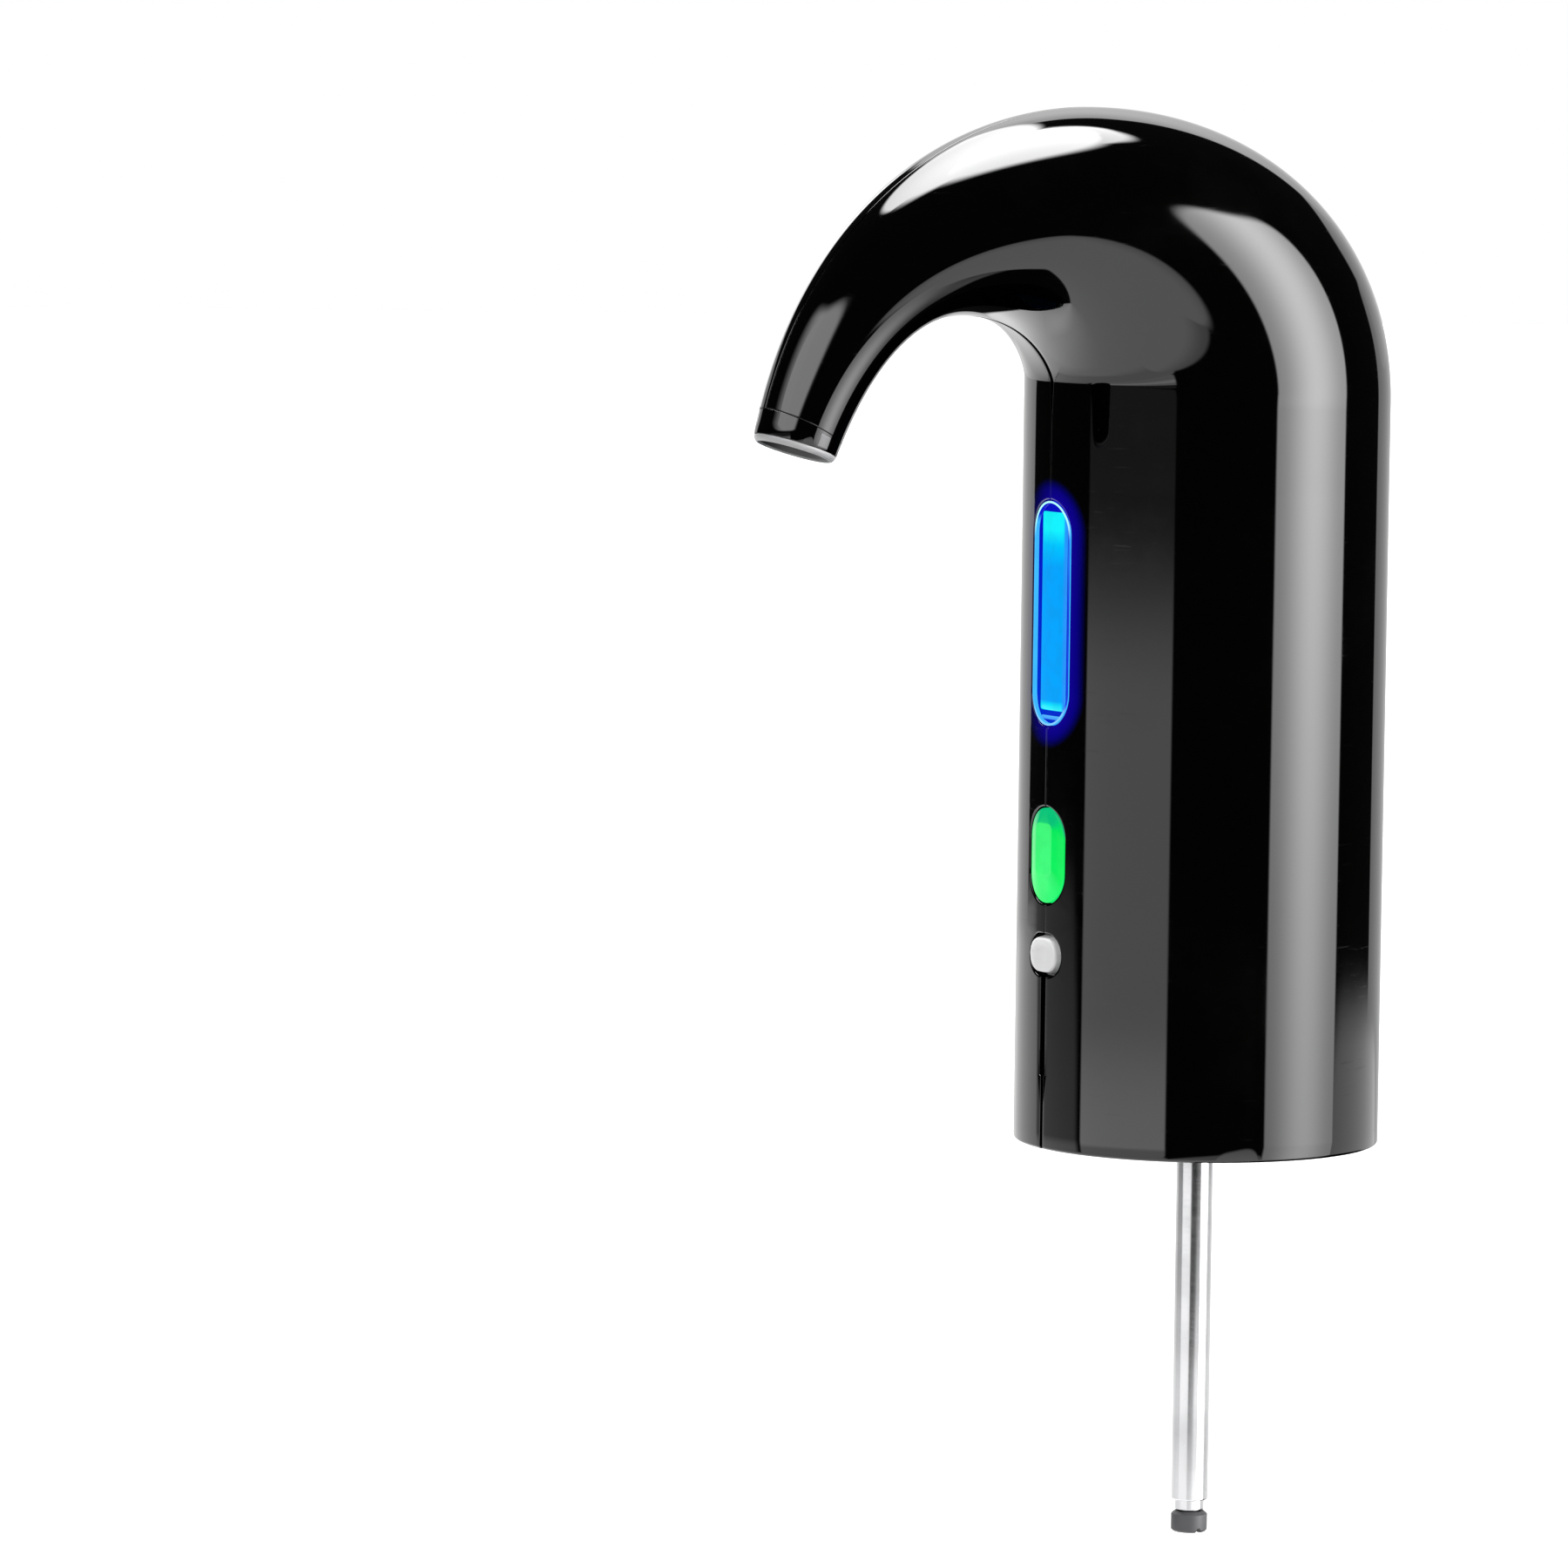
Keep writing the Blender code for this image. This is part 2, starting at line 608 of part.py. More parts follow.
def casing_half(name, side):
    """One half of the casing, with its bosses and its halves of the openings."""
    half = loft_walls(name, casing_sections(), side)
    for number, (x, y) in enumerate(boss_places(side)):
        boss = rod(f"{name}_boss_{number}", BOSS_RADIUS, (x, y, BOSS_Z), (x, y, BOSS_TOP))
        combine(half, boss, "UNION")
        bore = SCREW_RADIUS + SLIDE_GAP
        depth = SCREW_LENGTH + GAP
        low = rod(f"{name}_bore_{number}", bore, (x, y, BOSS_Z - OVERRUN), (x, y, BOSS_Z + depth), 12)
        combine(half, low, "DIFFERENCE")
        if y > 0:
            high = rod(f"{name}_top_bore", bore, (x, y, BOSS_TOP - depth), (x, y, BOSS_TOP + OVERRUN), 12)
            combine(half, high, "DIFFERENCE")
    front = -BODY_RADIUS - OVERRUN
    inside = -INNER_RADIUS + OVERRUN
    for control, width, height, level in (
        ("window", WINDOW_WIDTH, WINDOW_HEIGHT, WINDOW_LEVEL),
        ("pour", POUR_WIDTH, POUR_HEIGHT, POUR_LEVEL),
        ("power", POWER_WIDTH, POWER_HEIGHT, POWER_LEVEL),
    ):
        hole = pill_prism(
            f"{name}_{control}_hole", width + 2 * GAP, height + 2 * GAP, level + RIM_Z, front, inside
        )
        combine(half, hole, "DIFFERENCE")
    groove_top = POWER_LEVEL - POWER_HEIGHT / 2 + RIM_Z
    groove = box(
        f"{name}_groove",
        (-GROOVE_WIDTH / 2, front, GROOVE_LOW + RIM_Z),
        (GROOVE_WIDTH / 2, -BODY_RADIUS + GROOVE_DEPTH, groove_top),
    )
    combine(half, groove, "DIFFERENCE")
    port = pill_prism(
        f"{name}_port_hole",
        PORT_WIDTH + 2 * GAP,
        PORT_HEIGHT + 2 * GAP,
        PORT_Z + PORT_HEIGHT / 2,
        INNER_RADIUS - OVERRUN,
        BODY_RADIUS + OVERRUN,
    )
    combine(half, port, "DIFFERENCE")
    return keep(half, "black_gloss")


def spout_collar():
    """The ring that closes the casing at the spout's tip."""
    sections = []
    for share in np.linspace(spout_share(COLLAR_LENGTH), 1, 3):
        middle, toward, radius = section(1, share)
        sections.append((middle, toward, radius, COLLAR_BORE_RADIUS))
    return keep(loft_walls("spout_collar", sections), "collar_grey")


# Controls


def front_cap(name, width, height, level, radius):
    """A cap in a casing opening, curved like the body, with a flange behind the wall."""
    reach = -BODY_RADIUS - OVERRUN
    cap = pill_prism(name, width, height, level, reach, FLANGE_BACK_Y)
    skin = rod(f"{name}_skin", radius, (0, 0, level - height), (0, 0, level + height), 96)
    combine(cap, skin, "INTERSECT")
    flange = pill_prism(
        f"{name}_flange",
        width + 2 * FLANGE_MARGIN,
        height + 2 * FLANGE_MARGIN,
        level,
        reach,
        FLANGE_BACK_Y + BITE / 2,
    )
    inner_skin = rod(f"{name}_inner_skin", FLANGE_RADIUS, (0, 0, level - height), (0, 0, level + height), 96)
    combine(flange, inner_skin, "INTERSECT")
    combine(cap, flange, "UNION")
    return cap


def push_button(name, width, height, level, proud, travel, slot):
    """A button cap with the post that reaches its switch, its origin on the line it travels."""
    cap = front_cap(name, width, height, level, BODY_RADIUS + proud)
    post_end = SWITCH_FRONT_Y - travel - ACTUATOR_SEAT / 2 - GAP
    post = rod(f"{name}_post", POST_RADIUS, (0, FLANGE_BACK_Y - BITE, level), (0, post_end, level), 12)
    combine(cap, post, "UNION")
    return keep(cap, slot)


def tact_switch(name, level, travel):
    """A switch on the board and the actuator that its button pushes."""
    half = SWITCH_SIDE / 2
    depth = travel + 2 * ACTUATOR_SEAT
    housing = box(
        f"{name}_housing",
        (-half, SWITCH_FRONT_Y, level - half),
        (half, BOARD_FRONT_Y - GAP, level + half),
    )
    bore = rod(
        f"{name}_bore",
        ACTUATOR_RADIUS + SLIDE_GAP,
        (0, SWITCH_FRONT_Y - OVERRUN, level),
        (0, SWITCH_FRONT_Y + depth, level),
    )
    combine(housing, bore, "DIFFERENCE")
    keep(housing, "black_satin")
    actuator = rod(
        f"{name}_actuator",
        ACTUATOR_RADIUS,
        (0, SWITCH_FRONT_Y - travel - ACTUATOR_SEAT / 2, level),
        (0, SWITCH_FRONT_Y + ACTUATOR_SEAT, level),
    )
    keep(actuator, "rubber")


def controls():
    """The window, the two buttons, their switches and the lights behind them."""
    window_z = WINDOW_LEVEL + RIM_Z
    pour_z = POUR_LEVEL + RIM_Z
    power_z = POWER_LEVEL + RIM_Z
    keep(front_cap("window_lens", WINDOW_WIDTH, WINDOW_HEIGHT, window_z, BODY_RADIUS), "blue_lens")
    push_button("pour_button", POUR_WIDTH, POUR_HEIGHT, pour_z, POUR_PROUD, POUR_TRAVEL, "green_lens")
    push_button(
        "power_button", POWER_WIDTH, POWER_HEIGHT, power_z, POWER_PROUD, POWER_TRAVEL, "white_plastic"
    )
    tact_switch("pour_switch", pour_z, POUR_TRAVEL)
    tact_switch("power_switch", power_z, POWER_TRAVEL)
    guide_front = FLANGE_BACK_Y + BITE / 2 + GAP
    guide_back = guide_front + LIGHT_GUIDE_DEPTH
    guide = pill_prism(
        "light_guide", LIGHT_GUIDE_WIDTH, LIGHT_GUIDE_HEIGHT, window_z, guide_front, guide_back
    )
    keep(guide, "clear_guide")
    reflector = pill_prism(
        "window_reflector",
        LIGHT_GUIDE_WIDTH + 2 * (GAP + REFLECTOR_WALL),
        LIGHT_GUIDE_HEIGHT + 2 * (GAP + REFLECTOR_WALL),
        window_z,
        guide_front,
        BOARD_FRONT_Y - GAP,
    )
    hollow = pill_prism(
        "window_reflector_hollow",
        LIGHT_GUIDE_WIDTH + 2 * GAP,
        LIGHT_GUIDE_HEIGHT + 2 * GAP,
        window_z,
        guide_front - OVERRUN,
        BOARD_FRONT_Y + OVERRUN,
    )
    combine(reflector, hollow, "DIFFERENCE")
    keep(reflector, "white_plastic")
    pitch = (LIGHT_GUIDE_HEIGHT - LIGHT_GUIDE_WIDTH) / (LAMP_COUNT - 1)
    for number in range(LAMP_COUNT):
        lamp(f"window_lamp_{number + 1}", window_z + (number - (LAMP_COUNT - 1) / 2) * pitch)
    lamp("pour_lamp", pour_z + (SWITCH_SIDE + LAMP_HEIGHT) / 2 + GAP)


def lamp(name, level):
    """A small light on the front of the main board."""
    piece = box(
        name,
        (-LAMP_WIDTH / 2, BOARD_FRONT_Y - GAP - LAMP_DEPTH, level - LAMP_HEIGHT / 2),
        (LAMP_WIDTH / 2, BOARD_FRONT_Y - GAP, level + LAMP_HEIGHT / 2),
    )
    keep(piece, "white_plastic")


# Bottle socket, stopper and dip tube


def screw(name, place, upward):
    """A pan screw with its head seat at a place, pointing up or down, with a round recess."""
    outline = [
        (SCREW_RECESS_RADIUS, SCREW_HEAD_HEIGHT),
        (SCREW_HEAD_RADIUS, SCREW_HEAD_HEIGHT),
        (SCREW_HEAD_RADIUS, 0),
        (SCREW_RADIUS, 0),
        (SCREW_RADIUS, -SCREW_LENGTH),
        (0, -SCREW_LENGTH),
    ]
    recess = [(0, SCREW_HEAD_HEIGHT / 2), (SCREW_RECESS_RADIUS, SCREW_HEAD_HEIGHT / 2)]
    piece = turned(name, recess + outline, place, SCREW_SIDES)
    if upward:
        piece.rotation_euler = (math.pi, 0, 0)
    return keep(piece, "zinc_steel")


def bottom_cover():
    """The cover under the casing, with the socket that goes over the bottle's neck."""
    radius = INNER_RADIUS - GAP
    bore = STEM_RADIUS + GAP
    cover = turned(
        "bottom_cover",
        [
            (SOCKET_OUTER_RADIUS, CEILING_TOP),
            (SOCKET_OUTER_RADIUS, COVER_TOP),
            (radius, COVER_TOP),
            (radius, COVER_Z),
            (SOCKET_RADIUS, COVER_Z),
            (SOCKET_RADIUS, CEILING_Z),
            (bore, CEILING_Z),
            (bore, CEILING_TOP),
        ],
        sides=32,
    )
    head_depth = SCREW_HEAD_HEIGHT + GAP
    number = 0
    for side in (-1, 1):
        for x, y in boss_places(side):
            number += 1
            hole = turned(
                f"bottom_cover_hole_{number}",
                [
                    (0, COVER_TOP + OVERRUN),
                    (SCREW_RADIUS + SCREW_CLEARANCE, COVER_TOP + OVERRUN),
                    (SCREW_RADIUS + SCREW_CLEARANCE, COVER_Z + head_depth),
                    (SCREW_HEAD_RADIUS + SCREW_CLEARANCE, COVER_Z + head_depth),
                    (SCREW_HEAD_RADIUS + SCREW_CLEARANCE, COVER_Z - OVERRUN),
                    (0, COVER_Z - OVERRUN),
                ],
                (x, y, 0),
                12,
            )
            combine(cover, hole, "DIFFERENCE")
            screw(f"cover_screw_{number}", (x, y, COVER_Z + SCREW_HEAD_HEIGHT), True)
    return keep(cover, "black_satin")


def stopper():
    """The ribbed stopper that seals in the bottle's mouth."""
    top = CEILING_Z - GAP
    tip = -STOPPER_LENGTH
    pitch = STOPPER_LENGTH / (RIB_COUNT + 1)
    outline = [(STOPPER_RADIUS, top)]
    for number in range(RIB_COUNT):
        level = -pitch * (number + 1 / 2)
        sweep = pitch / 4
        outline += [
            (STOPPER_RADIUS, level + sweep),
            (STOPPER_RADIUS + RIB_HEIGHT, level),
            (STOPPER_RADIUS, level - sweep),
        ]
    outline += [
        (STOPPER_TIP_RADIUS, tip),
        (OUTER_TUBE_RADIUS + GAP, tip),
        (OUTER_TUBE_RADIUS + GAP, -STEM_LENGTH - GAP),
        (STEM_RADIUS + SLIDE_GAP, -STEM_LENGTH - GAP),
        (STEM_RADIUS + SLIDE_GAP, top),
    ]
    keep(turned("neck_stopper", outline), "silicone_grey")


def wine_hub():
    """The hub that joins the dip tube, the riser and the air line."""
    bore = OUTER_TUBE_RADIUS + GAP
    hub = turned(
        "wine_hub",
        [
            (BARB_RADIUS, BARB_TOP),
            (BARB_RADIUS, HUB_FLANGE_TOP),
            (HUB_FLANGE_RADIUS, HUB_FLANGE_TOP),
            (HUB_FLANGE_RADIUS, HUB_FLANGE_Z),
            (STEM_RADIUS, HUB_FLANGE_Z),
            (STEM_RADIUS, -STEM_LENGTH),
            (bore, -STEM_LENGTH),
            (bore, HUB_FLANGE_TOP),
            (BARB_BORE_RADIUS, HUB_FLANGE_TOP + BITE),
            (BARB_BORE_RADIUS, BARB_TOP),
        ],
    )
    x = AIR_BARB_PLACE
    top = HUB_FLANGE_TOP + BARB_LENGTH / 2
    combine(hub, rod("wine_hub_air_barb", AIR_BARB_RADIUS, (x, 0, HUB_FLANGE_Z + BITE), (x, 0, top)), "UNION")
    air = rod(
        "wine_hub_air_bore", AIR_BORE_RADIUS, (x, 0, HUB_FLANGE_Z - OVERRUN), (x, 0, top + OVERRUN), 8
    )
    combine(hub, air, "DIFFERENCE")
    keep(hub, "natural_abs")


def dip_tube():
    """The fixed tube, the two tubes that slide out of it, and the foot on the last."""
    sizes = (
        ("tube_outer", OUTER_TUBE_RADIUS, OUTER_TUBE_TOP, -OUTER_TUBE_LENGTH),
        ("tube_middle", MIDDLE_TUBE_RADIUS, MIDDLE_TUBE_TOP, MIDDLE_TUBE_Z),
        ("tube_inner", INNER_TUBE_RADIUS, INNER_TUBE_TOP, INNER_TUBE_Z),
    )
    for name, radius, top, foot in sizes:
        keep(ring(name, radius - TUBE_WALL, radius, foot, top), "stainless")
    top = MIDDLE_TUBE_Z - GAP
    shelf = INNER_TUBE_Z - GAP
    tip = top - FOOT_LENGTH
    bore = INNER_TUBE_RADIUS - TUBE_WALL
    foot = turned(
        "tube_foot",
        [
            (MIDDLE_TUBE_RADIUS, top),
            (OUTER_TUBE_RADIUS, top - SLIDE_GAP),
            (OUTER_TUBE_RADIUS, tip),
            (bore, tip),
            (bore, shelf),
            (INNER_TUBE_RADIUS + SLIDE_GAP / 2, shelf),
            (INNER_TUBE_RADIUS + SLIDE_GAP / 2, top),
        ],
    )
    slot = box(
        "tube_foot_slot",
        (-OUTER_TUBE_RADIUS - OVERRUN, -FOOT_SLOT_WIDTH / 2, tip - OVERRUN),
        (OUTER_TUBE_RADIUS + OVERRUN, FOOT_SLOT_WIDTH / 2, tip + FOOT_SLOT_WIDTH),
    )
    combine(foot, slot, "DIFFERENCE")
    keep(foot, "silicone_grey")


# Chassis, pump, cell and boards


def chassis():
    """The deck with the two cradles, the mast, the board's backing wall and two standoffs."""
    radius = INNER_RADIUS - GAP
    wall_front = BOARD_BACK_Y + GAP
    deck = rod("chassis", radius, (0, 0, DECK_Z), (0, 0, DECK_TOP), 48)
    clear = box(
        "chassis_front_cut",
        (-BODY_RADIUS - OVERRUN, -BODY_RADIUS - OVERRUN, DECK_Z - OVERRUN),
        (BODY_RADIUS + OVERRUN, wall_front, DECK_TOP + OVERRUN),
    )
    combine(deck, clear, "DIFFERENCE")
    low = DECK_TOP - BITE
    for name, x, y, inner in (
        ("motor", MOTOR_X, MOTOR_Y, MOTOR_RADIUS + GAP),
        ("cell", CELL_X, CELL_Y, CELL_RADIUS + GAP),
    ):
        cradle = ring(
            f"chassis_{name}_cradle", inner, inner + CRADLE_WALL, low, DECK_TOP + CRADLE_HEIGHT, (x, y, 0)
        )
        combine(deck, cradle, "UNION")
    mast = box(
        "chassis_mast",
        (MAST_LEFT, MAST_FRONT, low),
        (MAST_RIGHT, MAST_FRONT + MAST_DEPTH, DECK_TOP + MAST_HEIGHT),
    )
    combine(deck, mast, "UNION")
    backing = box(
        "chassis_backing",
        (-BOARD_WIDTH / 2, wall_front, low),
        (BOARD_WIDTH / 2, wall_front + BACKING_WALL, DECK_TOP + BACKING_HEIGHT),
    )
    combine(deck, backing, "UNION")
    standoff_x = CHARGE_BOARD_WIDTH / 2 - 2 * STANDOFF_RADIUS
    standoff_y = CHARGE_BOARD_Y + STANDOFF_RADIUS
    for side in (-1, 1):
        x = side * standoff_x
        standoff = rod(
            f"chassis_standoff_{side}",
            STANDOFF_RADIUS,
            (x, standoff_y, low),
            (x, standoff_y, DECK_TOP + STANDOFF_HEIGHT),
            12,
        )
        combine(deck, standoff, "UNION")
    hub_hole = rod(
        "chassis_hub_hole",
        BARB_RADIUS + GAP,
        (0, 0, DECK_Z - OVERRUN),
        (0, 0, DECK_TOP + OVERRUN),
    )
    combine(deck, hub_hole, "DIFFERENCE")
    air_hole = rod(
        "chassis_air_hole",
        AIR_BARB_RADIUS + GAP,
        (AIR_BARB_PLACE, 0, DECK_Z - OVERRUN),
        (AIR_BARB_PLACE, 0, DECK_TOP + OVERRUN),
        12,
    )
    combine(deck, air_hole, "DIFFERENCE")
    for number, side in enumerate((-1, 1)):
        x, y = boss_places(side)[1]
        hole = rod(
            f"chassis_screw_hole_{number}",
            SCREW_RADIUS + SCREW_CLEARANCE,
            (x, y, DECK_Z - OVERRUN),
            (x, y, DECK_TOP + OVERRUN),
            12,
        )
        combine(deck, hole, "DIFFERENCE")
        screw(f"chassis_screw_{number + 1}", (x, y, DECK_TOP + GAP), False)
    for name, level in (("pump", pump_clamp_level()), ("cell", cell_clip_level())):
        x = mast_middle()
        bore = rod(
            f"chassis_{name}_bore",
            SCREW_RADIUS + SLIDE_GAP,
            (x, MAST_FRONT - OVERRUN, level),
            (x, MAST_FRONT + SCREW_LENGTH, level),
            12,
        )
        combine(deck, bore, "DIFFERENCE")
    keep(deck, "black_satin")


def mast_middle():
    """The middle of the mast from side to side."""
    return (MAST_LEFT + MAST_RIGHT) / 2


def pump_clamp_level():
    """The height at which the clamp holds the motor."""
    return MOTOR_Z + MOTOR_LENGTH * CLAMP_LEVEL_SHARE


def cell_clip_level():
    """The height at which the clip holds the cell."""
    return CELL_Z + CELL_LENGTH * CELL_CLIP_SHARE


def mast_clamp(name, x, y, radius, level, slot):
    """A ring round the motor or the cell, with an ear screwed to the front of the mast."""
    low = level - CLAMP_HEIGHT / 2
    high = level + CLAMP_HEIGHT / 2
    clamp = rod(name, radius + GAP + CLAMP_WALL, (x, y, low), (x, y, high), 24)
    ear_back = MAST_FRONT - GAP
    ear_front = ear_back - EAR_THICKNESS
    drop = y - (ear_back + ear_front) / 2
    meet = math.sqrt((radius + GAP + CLAMP_WALL / 2) ** 2 - drop**2)
    near = x + meet if x < mast_middle() else x - meet
    far = MAST_RIGHT if x < mast_middle() else MAST_LEFT
    ear = box(
        f"{name}_ear",
        (min(near, far), ear_front, low + SLIDE_GAP),
        (max(near, far), ear_back, high - SLIDE_GAP),
    )
    inside = rod(f"{name}_inside", radius + GAP, (x, y, low - OVERRUN), (x, y, high + OVERRUN), 24)
    combine(clamp, ear, "UNION")
    combine(clamp, inside, "DIFFERENCE")
    hole = rod(
        f"{name}_hole",
        SCREW_RADIUS + SCREW_CLEARANCE,
        (mast_middle(), ear_front - OVERRUN, level),
        (mast_middle(), ear_back + OVERRUN, level),
        12,
    )
    combine(clamp, hole, "DIFFERENCE")
    keep(clamp, slot)
    fastener = screw(f"{name}_screw", (mast_middle(), ear_front - GAP, level), False)
    fastener.rotation_euler = (math.pi / 2, 0, 0)


def pump():
    """The air pump: motor, rotor, housing, wobble plate, diaphragm and valve head."""
    place = (MOTOR_X, MOTOR_Y, 0)
    motor = turned(
        "motor",
        [
            (MOTOR_RADIUS, MOTOR_TOP),
            (MOTOR_RADIUS, MOTOR_Z),
            (0, MOTOR_Z),
            (0, MOTOR_TOP - SHAFT_BELOW - GAP),
            (SHAFT_RADIUS + SLIDE_GAP, MOTOR_TOP - SHAFT_BELOW - GAP),
            (SHAFT_RADIUS + SLIDE_GAP, MOTOR_TOP),
        ],
        place,
    )
    keep(motor, "zinc_steel")
    shaft = rod(
        "motor_shaft", SHAFT_RADIUS, (0, 0, MOTOR_TOP - SHAFT_BELOW), (0, 0, MOTOR_TOP + SHAFT_ABOVE), 16
    )
    shaft.location = place
    keep(shaft, "stainless")
    eccentric_z = PUMP_Z + PUMP_WALL + GAP
    eccentric = turned(
        "pump_eccentric",
        [
            (ECCENTRIC_RADIUS, eccentric_z + ECCENTRIC_THICKNESS),
            (ECCENTRIC_RADIUS, eccentric_z),
            (SHAFT_RADIUS + SLIDE_GAP / 2, eccentric_z),
            (SHAFT_RADIUS + SLIDE_GAP / 2, eccentric_z + ECCENTRIC_THICKNESS),
        ],
        place,
    )
    crank_x = MOTOR_X + CRANK_OFFSET
    crank_top = eccentric_z + ECCENTRIC_THICKNESS + CRANK_HEIGHT
    crank = rod(
        "pump_eccentric_crank",
        CRANK_RADIUS,
        (crank_x, MOTOR_Y, eccentric_z + BITE),
        (crank_x, MOTOR_Y, crank_top),
        12,
    )
    keep(combine(eccentric, crank, "UNION"), "brass")
    housing = turned(
        "pump_housing",
        [
            (PUMP_RADIUS, PUMP_TOP),
            (PUMP_RADIUS, PUMP_Z),
            (SHAFT_RADIUS + SCREW_CLEARANCE, PUMP_Z),
            (SHAFT_RADIUS + SCREW_CLEARANCE, PUMP_Z + PUMP_WALL),
            (PUMP_RADIUS - PUMP_WALL, PUMP_Z + PUMP_WALL),
            (PUMP_RADIUS - PUMP_WALL, PUMP_TOP),
        ],
        place,
    )
    keep(housing, "natural_abs")
    wobble_z = crank_top + GAP
    stem = DIAPHRAGM_Z - GAP
    wobble = turned(
        "wobble_plate",
        [
            (0, stem),
            (CRANK_OFFSET, stem),
            (CRANK_OFFSET, wobble_z + WOBBLE_THICKNESS),
            (WOBBLE_RADIUS, wobble_z + WOBBLE_THICKNESS),
            (WOBBLE_RADIUS, wobble_z),
            (0, wobble_z),
        ],
        place,
    )
    keep(wobble, "white_plastic")
    diaphragm = rod(
        "pump_diaphragm",
        PUMP_RADIUS,
        (MOTOR_X, MOTOR_Y, DIAPHRAGM_Z),
        (MOTOR_X, MOTOR_Y, DIAPHRAGM_Z + DIAPHRAGM_THICKNESS),
        24,
    )
    keep(diaphragm, "rubber")
    head = rod(
        "pump_valve_head",
        PUMP_RADIUS,
        (MOTOR_X, MOTOR_Y, VALVE_HEAD_Z),
        (MOTOR_X, MOTOR_Y, VALVE_HEAD_TOP),
        24,
    )
    x, y = outlet_place()
    outlet = rod(
        "pump_outlet", AIR_BARB_RADIUS, (x, y, VALVE_HEAD_TOP - BITE), (x, y, OUTLET_TOP), 12
    )
    combine(head, outlet, "UNION")
    passage = rod(
        "pump_outlet_bore",
        AIR_BORE_RADIUS,
        (x, y, VALVE_HEAD_Z + VALVE_HEAD_HEIGHT / 2),
        (x, y, OUTLET_TOP + OVERRUN),
        8,
    )
    combine(head, passage, "DIFFERENCE")
    keep(head, "natural_abs")
    mast_clamp("pump_clamp", MOTOR_X, MOTOR_Y, MOTOR_RADIUS, pump_clamp_level(), "natural_abs")


def outlet_place():
    """Where the pump's outlet stands: halfway from the pump's middle to its front edge."""
    return MOTOR_X + PUMP_RADIUS / 3, MOTOR_Y - PUMP_RADIUS / 2


def cell():
    """The rechargeable cell, its insulating cap and its clip."""
    place = (CELL_X, CELL_Y, 0)
    body = turned(
        "battery_cell",
        [
            (0, CELL_TOP + CELL_BUTTON_HEIGHT),
            (CELL_BUTTON_RADIUS, CELL_TOP + CELL_BUTTON_HEIGHT),
            (CELL_BUTTON_RADIUS, CELL_TOP),
            (CELL_RADIUS, CELL_TOP),
            (CELL_RADIUS, CELL_Z),
            (0, CELL_Z),
        ],
        place,
    )
    keep(body, "cell_wrap")
    cap_top = CELL_TOP + CELL_BUTTON_HEIGHT + GAP
    cap = turned(
        "battery_contact",
        [
            (0, cap_top + BOARD_THICKNESS),
            (CELL_BUTTON_RADIUS, cap_top + BOARD_THICKNESS),
            (CELL_BUTTON_RADIUS, cap_top),
            (0, cap_top),
        ],
        place,
        16,
    )
    keep(cap, "brass")
    mast_clamp("battery_clip", CELL_X, CELL_Y, CELL_RADIUS, cell_clip_level(), "natural_abs")


def boards():
    """The main board with its screws, and the charging board with its socket."""
    board = box(
        "main_board",
        (-BOARD_WIDTH / 2, BOARD_FRONT_Y, BOARD_FOOT),
        (BOARD_WIDTH / 2, BOARD_BACK_Y, BOARD_HEAD),
    )
    for number, side in enumerate((-1, 1)):
        x = side * (BOARD_WIDTH / 2 - SCREW_HEAD_RADIUS - GAP)
        level = (POUR_LEVEL + WINDOW_LEVEL - WINDOW_HEIGHT / 2) / 2 + RIM_Z
        hole = rod(
            f"main_board_hole_{number}",
            SCREW_RADIUS + SCREW_CLEARANCE,
            (x, BOARD_FRONT_Y - OVERRUN, level),
            (x, BOARD_BACK_Y + OVERRUN, level),
            12,
        )
        combine(board, hole, "DIFFERENCE")
        bore = rod(
            f"chassis_board_bore_{number}",
            SCREW_RADIUS + SLIDE_GAP,
            (x, BOARD_BACK_Y - OVERRUN, level),
            (x, BOARD_BACK_Y + BACKING_WALL + OVERRUN, level),
            12,
        )
        combine(bpy.data.objects["chassis"], bore, "DIFFERENCE")
        fastener = screw(f"board_screw_{number + 1}", (x, BOARD_FRONT_Y - GAP, level), False)
        fastener.rotation_euler = (math.pi / 2, 0, 0)
    keep(board, "circuit_board")
    half = CHARGE_BOARD_WIDTH / 2
    charge_board = box(
        "charge_board",
        (-half, CHARGE_BOARD_Y, CHARGE_BOARD_Z),
        (half, CHARGE_BOARD_Y + CHARGE_BOARD_DEPTH, CHARGE_BOARD_Z + CHARGE_BOARD_THICKNESS),
    )
    keep(charge_board, "circuit_board")
    level = PORT_Z + PORT_HEIGHT / 2
    port = pill_prism(
        "charge_socket", PORT_WIDTH, PORT_HEIGHT, level, PORT_MOUTH_Y - PORT_DEPTH, PORT_MOUTH_Y
    )
    mouth = pill_prism(
        "charge_socket_mouth",
        PORT_WIDTH - 2 * PORT_SKIN,
        PORT_HEIGHT - 2 * PORT_SKIN,
        level,
        PORT_MOUTH_Y - PORT_DEPTH + PORT_SKIN,
        PORT_MOUTH_Y + OVERRUN,
    )
    combine(port, mouth, "DIFFERENCE")
    keep(port, "zinc_steel")


# Hoses, nozzle and leads


def tip_frame(distance):
    """A point on the spout's middle line at this distance up from the tip, square to the tip."""
    reach = TIP_FORWARD - math.cos(TIP_SLOPE) * distance
    height = TIP_HEIGHT + math.sin(TIP_SLOPE) * distance
    return (0.0, -reach, height + RIM_Z)


